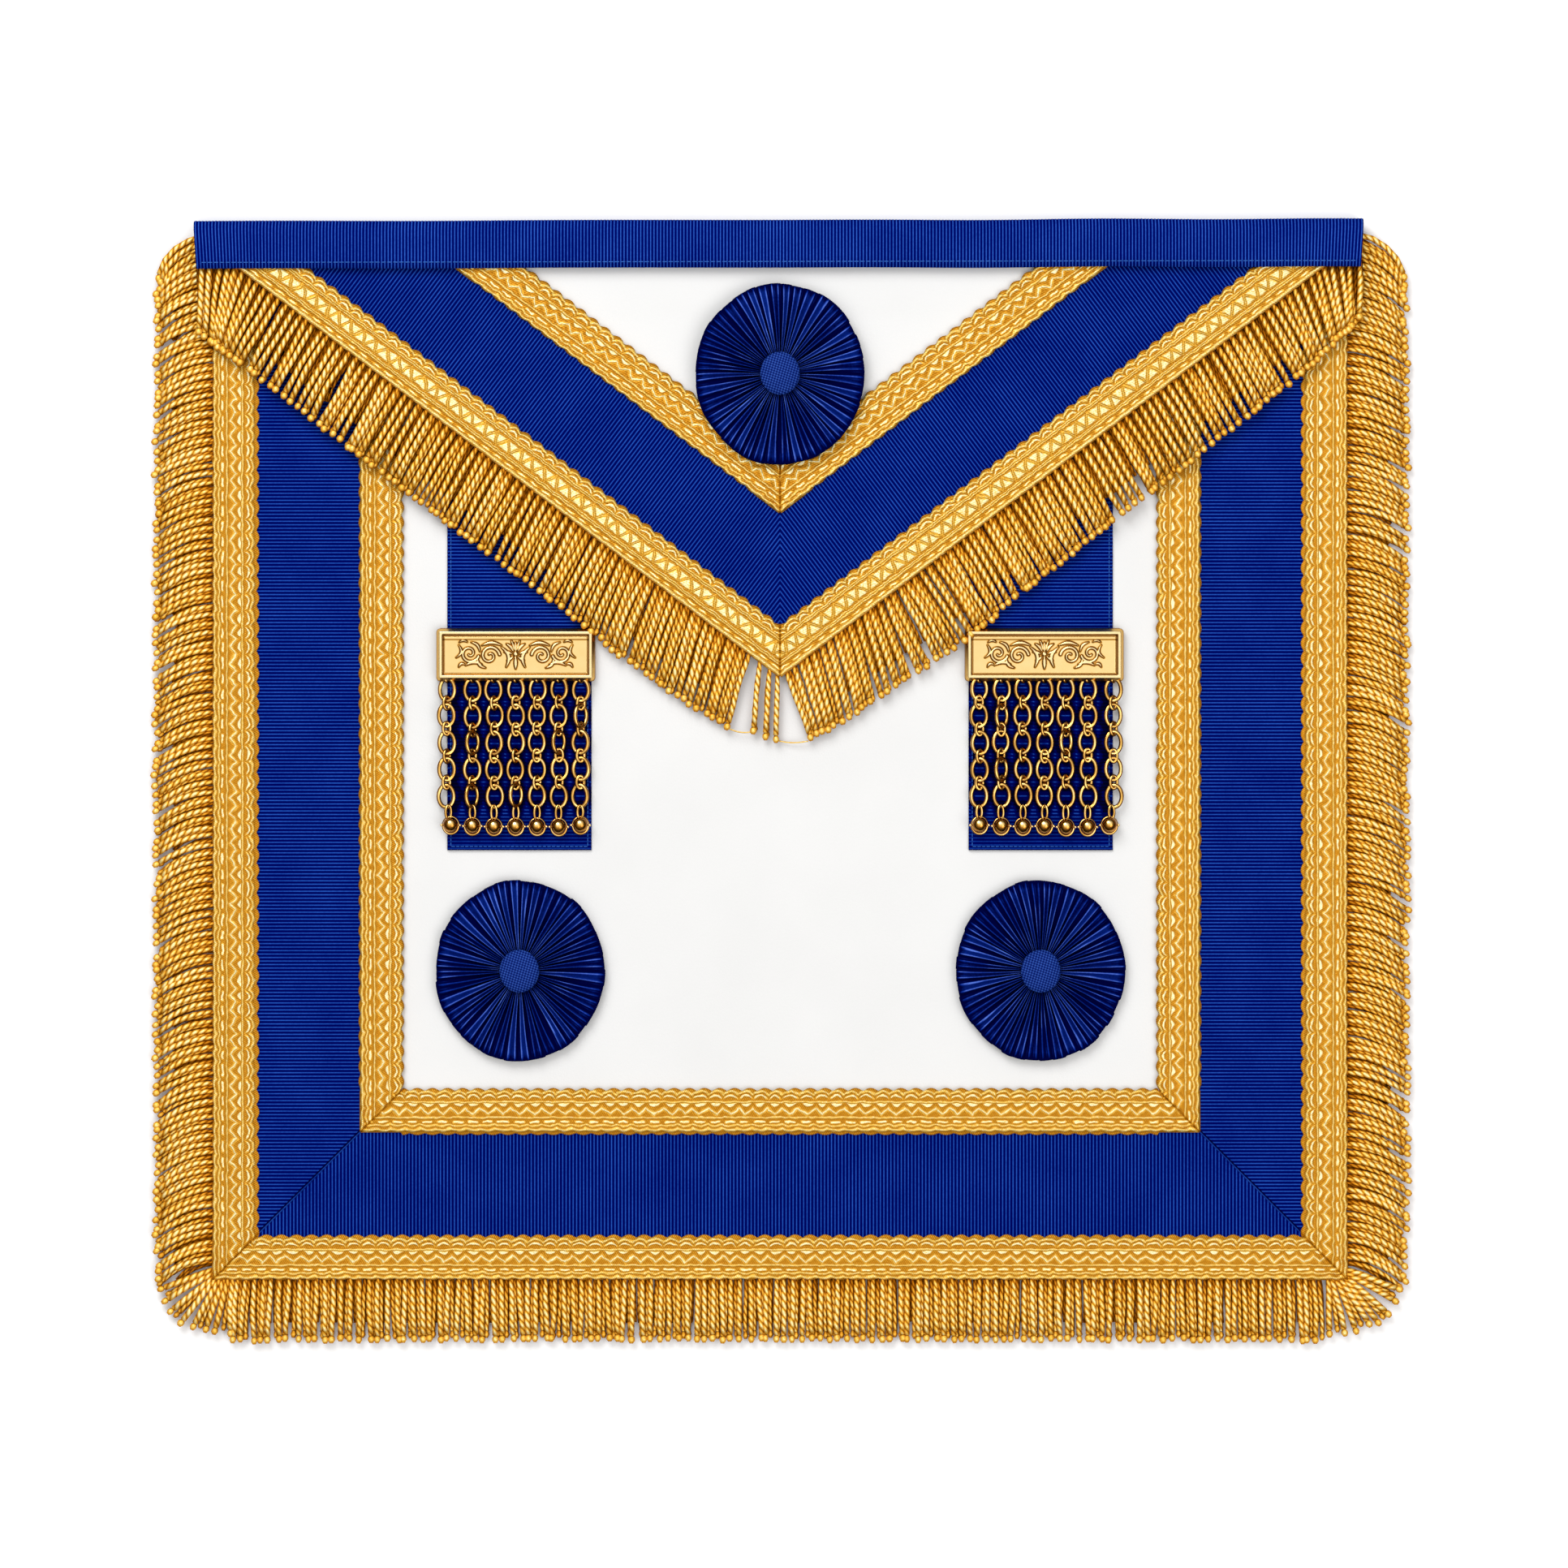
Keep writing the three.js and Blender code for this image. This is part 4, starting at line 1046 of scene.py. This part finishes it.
def add_fringe():
    """Three layers: strands two pitches apart on top, the same between them a little lower, and ones close
    together beneath; the lower layers are darker with painted shade, the lowest dark. The side strands
    droop, the corner's fan out, and the flap's lean away from its tip, where they stand apart."""
    high = corners("fringe_left")[1][1]
    pitches, shifts = strand_pitch * np.array([2, 2, 0.78]), (0.0, 0.5, 0.25)
    for end, mirror in SIDES:
        shape = Shape()
        for layer in (0, 1, 2):
            y = spread(high + 0.6, panel_y + 4.6, pitches[layer], shifts[layer])
            count = len(y)
            depth = high - y
            droop = side_droop + (top_droop - side_droop) * np.exp(-depth / droop_run)
            droop = droop + 10 * np.exp(-(y - panel_y) / 25)
            start = 184 - 6 * np.exp(-depth / 10) + chance.normal(0, 1.6, count)
            root = np.stack([np.full(count, -half_panel), y], 1)
            length = side_length[end] + 4.6 * np.exp(-depth / 9) + chance.uniform(-0.7, 0.5, count)
            length = length - (0.0, 1.2, 7.5)[layer]
            finish = 178 + droop + chance.normal(0, 3.0, count)
            strands(shape, root, start, finish, length, on_ground, layer)
        shape.piece("fringe_" + end + "_strands", ["fringe_" + end], thread, "fringe", mirror)

    shape = Shape()
    bottom_length = panel_y - outline_low + 1.2
    fan = np.arange(8)
    for layer in (0, 1, 2):
        x = spread(corner_inset - half_panel, half_panel - corner_inset, pitches[layer], shifts[layer])
        count = len(x)
        near = np.exp(-(half_panel - corner_inset - abs(x)) / 14)
        lean = chance.normal(0, 1.3, count) + 6 * np.sign(x) * near
        root = np.stack([x, np.full(count, panel_y)], 1)
        length = bottom_length + chance.uniform(-0.7, 0.1, count) - (0.0, 1.4, 7.0)[layer] + 0.6 * near
        finish = 270 + lean * 0.4 + chance.normal(0, 2.6, count)
        strands(shape, root, 270 + lean, finish, length, on_ground, layer)
        if layer < 2:
            for side in (-1, 1):  # the corner's fan
                step = fan[::2] + 0.5 if layer else fan
                along = -3.7 + 1.54 * step
                start = 200 + 9.4 * step + chance.uniform(-2, 2, len(step))
                finish = start + 5 + chance.normal(0, 2, len(step))
                if side > 0:
                    start, finish = 540 - start, 540 - finish
                root_x = side * (half_panel - np.maximum(along, 0))
                root = np.stack([root_x, panel_y + np.maximum(-along, 0)], 1)
                length = 20.2 + chance.uniform(-0.7, 0.5, len(step)) - 1.6 * layer
                strands(shape, root, start, finish, length, on_ground, layer, thick=1.12)
    shape.piece("fringe_bottom_strands", ["fringe_bottom"], thread, "fringe")

    edge_length = (half_panel - flap_inset) * flap_stretch
    parting = 187.5  # along the left edge, where two bunches have drawn apart
    for end, mirror in SIDES:
        shape = Shape()
        table = np.array(FLAP_HANG[end])
        for layer in (0, 1, 2):
            first = (12.0, 13.6, 20.0)[layer] if end == "left" else (1.0, 2.4, 20.0)[layer]
            s = spread(first, edge_length + flap_inset + 5, pitches[layer])
            if end == "left" and layer < 2:  # three strands stand by themselves at the tip
                s = np.concatenate([[1.2, 4.6, 9.0][layer:], s])
            count = len(s)
            past = np.maximum(0, s - edge_length)
            on_edge = s - past
            share = s / edge_length
            lean = np.interp(share, table[:, 0], table[:, 1]) + chance.normal(0, 0.9, count) * (s > 15)
            length = np.interp(share, table[:, 0], table[:, 2]) + chance.uniform(-0.5, 0.3, count)
            root = np.stack([-on_edge / flap_stretch - past, tip_y + on_edge * flap_slope / flap_stretch], 1)
            bend = chance.normal(1, 2, count)
            part = 0.0
            if end == "left":
                away = s - parting
                part = 1.5 * np.sign(-away) * np.exp(-np.abs(away) / 3)
            length = length - (0.0, 0.8, 9.0)[layer]
            beads = strands(shape, root, 270 - lean - bend, 270 - lean + bend, length, on_apron, layer, part)
            if layer == 0 and end == "left":
                loose_thread(shape, beads[2], beads[3], 0.9)
                loose_thread(shape, beads[0] * (1, 1, 0.6), beads[0] + (11.4, -0.3, -0.4), 0.7)
        shape.piece("flap_fringe_" + end + "_strands", ["flap_fringe_" + end], thread, "fringe", mirror)


# Rosettes


def add_rosettes():
    """A disc of knife pleats. Going round, each pleat is a strip with a crest along both edges, and a deep
    fold parts it from the next; outwards the strips open, the folds fill with fine pleats, and the disc
    sinks a little towards its lumpy rim. Its colour is painted light: painted shade in the folds, near the
    button and at the rim, painted highlights along the crests and streaks of painted sheen."""
    pleats = 40
    profile = np.array([0.0, 0.5, 0.92, 1.0, 0.8, 0.7, 0.72, 0.86, 0.96, 0.6, 0.22, 0.05])
    # Painted light round a pleat: dark in the fold, bright along both crests.
    pleat_painted_light = np.array([0.0, 0.3, 1.0, 0.66, 0.58, 0.56, 0.56, 0.6, 1.0, 0.4, 0.05, 0.0])
    fine = len(profile)
    around = pleats * fine
    turn = 2 * np.pi * np.arange(around) / around
    reach = np.array([1.0, 1.0, 0.99, 0.96, 0.91, 0.84, 0.76, 0.67, 0.58, 0.49, 0.4, 0.31, 0.22, 0.14])
    swell = np.interp(reach, [0.14, 0.3, 0.8, 1.0], [5.2, 5.4, 4.9, 3.8])[:, None]
    depth = np.interp(reach, [0.14, 0.3, 0.7, 1.0], [2.6, 2.8, 2.0, 1.4])[:, None]
    open_share = np.clip((reach - 0.45) / 0.5, 0, 1)[:, None]
    seated, hub_radius = 5.5, 8.0
    for end in ("upper", "left", "right"):
        name = "rosette_" + end
        low, high = corners(name)
        middle = (low + high) / 2
        half_x, half_y = (high[0] - low[0]) / 2, (high[1] - low[1]) / 2
        seat = high[2] - seated

        def each(low_value, high_value):
            return np.repeat(chance.uniform(low_value, high_value, pleats), fine)[None]

        bend = 0.02 * np.sin(5 * turn + 1) + 0.01 * np.sin(11 * turn)
        bend = bend + 0.02 * np.sin(np.pi * reach)[:, None] * each(-1, 1)
        lumps = 0.006 * np.sin(7 * turn + 2) + each(-0.012, 0.006)
        grow = reach[:, None] * (1 + np.clip(reach[:, None] * 2 - 1, 0, 1) * lumps)
        small = 0.5 + 0.5 * np.cos(2 * np.pi * np.arange(around) / 3)
        crest = np.maximum(profile[np.arange(around) % fine] * each(0.8, 1.0), 0.75 * open_share * small)
        rings = np.zeros((len(reach), around, 3))
        angle = turn + bend
        rings[..., 0] = middle[0] + half_x * grow * np.cos(angle)
        rings[..., 1] = middle[1] + half_y * grow * np.sin(angle)
        rings[..., 2] = seat + swell - depth * (1 - crest)
        rings[0, :, 2] = seat
        lit = pleat_painted_light[np.arange(around) % fine] * each(0.75, 1.0)
        # Streaks of painted sheen on some pleats.
        painted_sheen = np.clip(np.sin(reach[:, None] * 9 + each(0, 6.3)), 0, 1) ** 3 * each(0, 0.65) * (lit > 0.6)
        shade = np.maximum(lit, 0.62 * open_share * small) + painted_sheen
        # Painted shade near the button and at the rim.
        shade = shade * np.interp(reach, [0.14, 0.3, 0.94, 1.0], [0.85, 1.0, 1.0, 0.4])[:, None]
        shape = Shape().loft(rings, np.clip(shade, 0.14, 1))
        if end == "upper":
            hub = np.array([[hub_radius, low[2]], [hub_radius, seat + 0.2]])
            spin = 2 * np.pi * np.arange(24) / 24
            boss = np.stack([hub[:, :1] * np.cos(spin), middle[1] + hub[:, :1] * np.sin(spin),
                             np.repeat(hub[:, 1:], 24, 1)], -1)
            shape.loft(boss, 0.3)
        piece = shape.piece(name + "_pleated", [name], rosette_blue, "rosette")
        name = "rosette_button_" + end
        low, high = corners(name)
        middle = (low + high) / 2
        tilt = np.linspace(0, np.pi / 2, 13)[:-1]
        spin = 2 * np.pi * np.arange(48) / 48
        wide = np.concatenate([[0.9], np.cos(tilt)])
        tall = np.concatenate([[0.0], 0.12 + 0.88 * np.sin(tilt)])
        dome = np.stack([
            middle[0] + (high[0] - low[0]) / 2 * wide[:, None] * np.cos(spin),
            middle[1] + (high[1] - low[1]) / 2 * wide[:, None] * np.sin(spin),
            np.repeat((low[2] + (high[2] - low[2]) * tall)[:, None], 48, 1)], -1)
        piece = Shape().loft(dome).piece(name + "_covered", [name], woven_blue, "button")


# Tassel bars


def scroll_curves():
    """Centre lines of the raised ornament in the bar's right half, as (points, half widths) pairs: spirals,
    leaves that branch from them, and the palmette's petals and stem."""
    curves = []

    def spiral(cx, cy, size, first, turns, hand, half):
        share = np.linspace(0, 1, 70)
        angle = first + hand * 2 * np.pi * turns * share
        radius = size * (1 - 0.82 * share)
        points = np.stack([cx + radius * np.cos(angle), cy + radius * np.sin(angle)], 1)
        curves.append((points, half * (1 - 0.35 * share)))

    def leaf(x0, y0, x1, y1, bow, half):
        share = np.linspace(0, 1, 26)
        dx, dy = x1 - x0, y1 - y0
        x = x0 + dx * share - dy * bow * np.sin(np.pi * share)
        y = y0 + dy * share + dx * bow * np.sin(np.pi * share)
        curves.append((np.stack([x, y], 1), half * np.sin(np.pi * (0.1 + 0.8 * share)) + 0.06))

    spiral(9.1, -0.4, 3.5, 0.95 * np.pi, 1.3, -1, 0.56)
    spiral(16.2, 0.5, 3.3, 1.1 * np.pi, 1.3, 1, 0.54)
    for row in SCROLL_LEAVES:
        leaf(*row)
    return curves


def add_bars():
    """A cast bar as one height over a fine grid: a bevel, a rim, a groove, a step along the top, a sunk
    satin plate, and ornament raised by its distance from the scroll's centre lines and outlined by a groove.
    Its colour is painted light: a painted highlight on the rim and the ornament, and painted shade on the
    bevel, in the grooves and on the step. It stands a little proud of its node all round."""
    low, high = corners("tassel_bar_left")
    size = high - low + (1.5, 0.8, 0)
    half_x, half_y = size[0] / 2, size[1] / 2
    x, y = np.meshgrid(np.linspace(-half_x, half_x, 301), np.linspace(-half_y, half_y, 101))
    corner, step_depth, groove_depth = 1.6, 4.1, 4.05
    over_x, over_y = np.abs(x) - (half_x - corner), np.abs(y) - (half_y - corner)
    outside = np.hypot(np.maximum(over_x, 0), np.maximum(over_y, 0))
    outside = outside + np.minimum(np.maximum(over_x, over_y), 0)
    edge = corner - outside
    wider = np.clip((y - half_y + step_depth) * 9, 0, 1.25)  # the step at the top
    step = np.where(y > 0, edge - wider, edge)
    reach = [-0.3, 0.0, 0.9, 1.3, 2.2, 2.5, 2.8, 3.1]
    rise = [0.3, 0.45, 0.82, 1.0, 1.0, 0.7, 0.5, 0.55]
    plate_area = np.minimum(step, edge) > 2.9
    height = size[2] * np.interp(edge, reach, rise)
    clear = np.full_like(x, 9.0)
    for points, half in scroll_curves():
        for point, wide in zip(points, half):
            clear = np.minimum(clear, np.hypot(np.abs(x) - point[0], y - point[1]) - wide)
    clear = np.minimum(clear, np.hypot(x, y - 0.3) - 0.8)
    relief = np.clip(-clear / 0.24, 0, 1)
    height = height + np.where(plate_area, 0.5 * relief, 0)
    # Painted light across the frame: painted shade on the outer edge, the bevel, the groove and the step, a
    # painted highlight on the rim.
    frame_shade = np.interp(edge, [0.0, 0.2, 0.35, 1.0, 1.2, 2.2, 2.4, 2.75, 2.95, 3.2],
                            [0.2, 0.35, 0.7, 0.7, 1.0, 1.0, 0.1, 0.15, 0.8, 0.85])
    # On the plate, a painted highlight on the raised ornament and painted shade in the groove round it.
    shade = np.where(plate_area, 0.86 + 0.14 * relief - 0.8 * ridge(clear - 0.06, 0.3), frame_shade)
    # Painted shade in the groove under the step at the top.
    top_groove = ridge(y - (half_y - groove_depth), 0.3) * (edge > 2.6)
    shade = np.clip(shade - 0.75 * top_groove, 0, 1)
    for end in ("left", "right"):
        name = "tassel_bar_" + end
        low, high = corners(name)
        middle = (low + high) / 2 + (0, 0.25, 0)
        pull = np.maximum(outside - corner, 0) / np.maximum(outside, 1e-6)
        px = x - np.sign(x) * np.maximum(over_x, 0) * pull
        py = y - np.sign(y) * np.maximum(over_y, 0) * pull
        upper = np.stack([px + middle[0], py + middle[1], low[2] + np.where(edge < 0, 0.02, height)], -1)
        base = upper[:, (0, -1)] * (1, 1, 0) + (0, 0, low[2])
        rings = np.concatenate([base, upper[:, ::-1]], 1)
        shades = np.concatenate([np.full((len(x), 2), 0.5), shade[:, ::-1]], 1)
        Shape().loft(rings, shades).piece(name + "_cast", [name], gilt_satin, "metal")


# Chains


def link(shape, centre, wide, long, wire, tilt, sides=8, steps=22):
    """An oval wire ring, wide by long outside, turned by tilt about its long axis. The wire gets painted
    shade where it faces sideways and a painted highlight along its top, which waxes and wanes round the ring."""
    turn = 2 * np.pi * np.arange(steps) / steps
    flat = np.stack([(wide / 2 - wire) * np.cos(turn), (long / 2 - wire) * np.sin(turn), 0 * turn], 1)
    ahead = np.stack([-(wide / 2 - wire) * np.sin(turn), (long / 2 - wire) * np.cos(turn), 0 * turn], 1)
    rotate = np.array([[math.cos(tilt), 0, math.sin(tilt)], [0, 1, 0], [-math.sin(tilt), 0, math.cos(tilt)]])
    path, ahead, up = flat @ rotate.T + centre, ahead @ rotate.T, rotate @ (0, 0, 1)
    ahead /= np.linalg.norm(ahead, axis=1, keepdims=True)
    right = np.cross(ahead, up)
    angle = 2 * np.pi * np.arange(sides) / sides
    square = np.cos(angle)[None, :, None] * right[:, None] + np.sin(angle)[None, :, None] * up
    rings = path[:, None] + wire * square
    facing = (rings - path[:, None])[..., 2] / wire
    # Painted light that waxes and wanes twice round the ring.
    painted_ring_light = 0.82 + 0.18 * np.sin(turn * 2 + centre[0] + centre[1])[:, None]
    shape.loft(rings, (0.07 + 0.85 * np.clip(facing, 0, 1) ** 2.6) * painted_ring_light, closed=True)


def add_chains():
    """Five large links lie nearly flat in each chain, a small upright ring joins each pair, and a last one
    holds the ball, which sits in a collar with a bead at each side. The outermost chain hangs a little
    outside the ribbon."""
    ball = 3.2
    core = 2.7
    tilt = np.linspace(0, np.pi, 17)[1:-1]
    spin = 2 * np.pi * np.arange(28) / 28
    for end, outer in (("left", -1), ("right", 1)):
        bar_low, _ = corners("tassel_bar_" + end)
        middles, first, pitch = chain_places(end)
        for number in range(1, 8):
            name = f"tassel_chain_{end}_{number}"
            low, high = corners(name)
            x = middles[number - 1]
            outermost = number == (1 if end == "left" else 7)
            rest = braid_z - 0.2
            shape = Shape()
            ball_y = low[1] + 2.95 + (0.5 if number in (1, 7) else chance.uniform(-0.2, 0.2))
            drift = chance.uniform(-0.3, 0.3, 6) + (1.5 * outer if outermost else 0)
            for step in range(5):
                y = first - step * pitch + chance.uniform(-0.25, 0.25)
                turned = chance.uniform() > 0.93
                lean = 0.8 if turned else chance.uniform(-0.3, 0.3)
                link(shape, np.array([x + drift[step], y, rest + 1.6 + 0.7 * turned]), 7.0, 9.4, 0.76, lean)
                if step < 4:
                    middle = np.array([x + (drift[step] + drift[step + 1]) / 2, y - pitch / 2, rest + 1.9])
                    link(shape, middle, 4.0, 5.8, 0.64, chance.uniform(0.2, 0.8), 7, 16)
            last = first - 4 * pitch - 4.4
            middle = (last + ball_y + ball) / 2
            holder = np.array([x + drift[5] / 2, middle, rest + 2.3])
            link(shape, holder, 3.2, last - ball_y - ball + 3.2, 0.55, 0.4, 7, 16)
            hook = np.array([x + drift[0], bar_low[1] + 1.0, rest + 1.4])
            link(shape, hook, 3.2, 3.8, 0.55, 0.9, 7, 16)
            across, along = np.sin(tilt)[:, None] * np.cos(spin), np.sin(tilt)[:, None] * np.sin(spin)
            sphere = np.stack([core * across + x, core * along + ball_y + 0.2,
                               np.repeat(-core * np.cos(tilt)[:, None], 28, 1) + rest + ball], -1)
            # A painted highlight a little above the ball's middle, a ring of painted shade round it, and a
            # lighter painted reflection at the rim.
            glint = np.hypot(across, along - 0.28)
            shade = np.interp(glint, [0.1, 0.3, 0.5, 0.8, 1.0, 1.28], [1.0, 0.75, 0.3, 0.1, 0.25, 0.6])
            shape.loft(sphere, shade)
            collar = np.array([x, ball_y - 0.1, rest + 2.2])
            link(shape, collar, 2 * ball, 2 * ball + 0.5, 0.5, 0.0, 8, 28)
            for side in (-1, 1):
                bead = np.array([[-0.5, 0.2], [-0.2, 0.5], [0.2, 0.5], [0.5, 0.2]])
                round_bead = np.stack([
                    x + side * ball + np.repeat(bead[:, :1], 10, 1),
                    ball_y + bead[:, 1:] * np.cos(2 * np.pi * np.arange(10) / 10),
                    rest + ball + bead[:, 1:] * np.sin(2 * np.pi * np.arange(10) / 10)], -1)
                shape.loft(round_bead, 0.9)
            shape.piece(name + "_links", [name], gilt, "metal")


add_camera()
add_floor()
add_light()
add_skins()
add_ribbons()
add_waistband()
add_braids()
add_fringe()
add_rosettes()
add_bars()
add_chains()
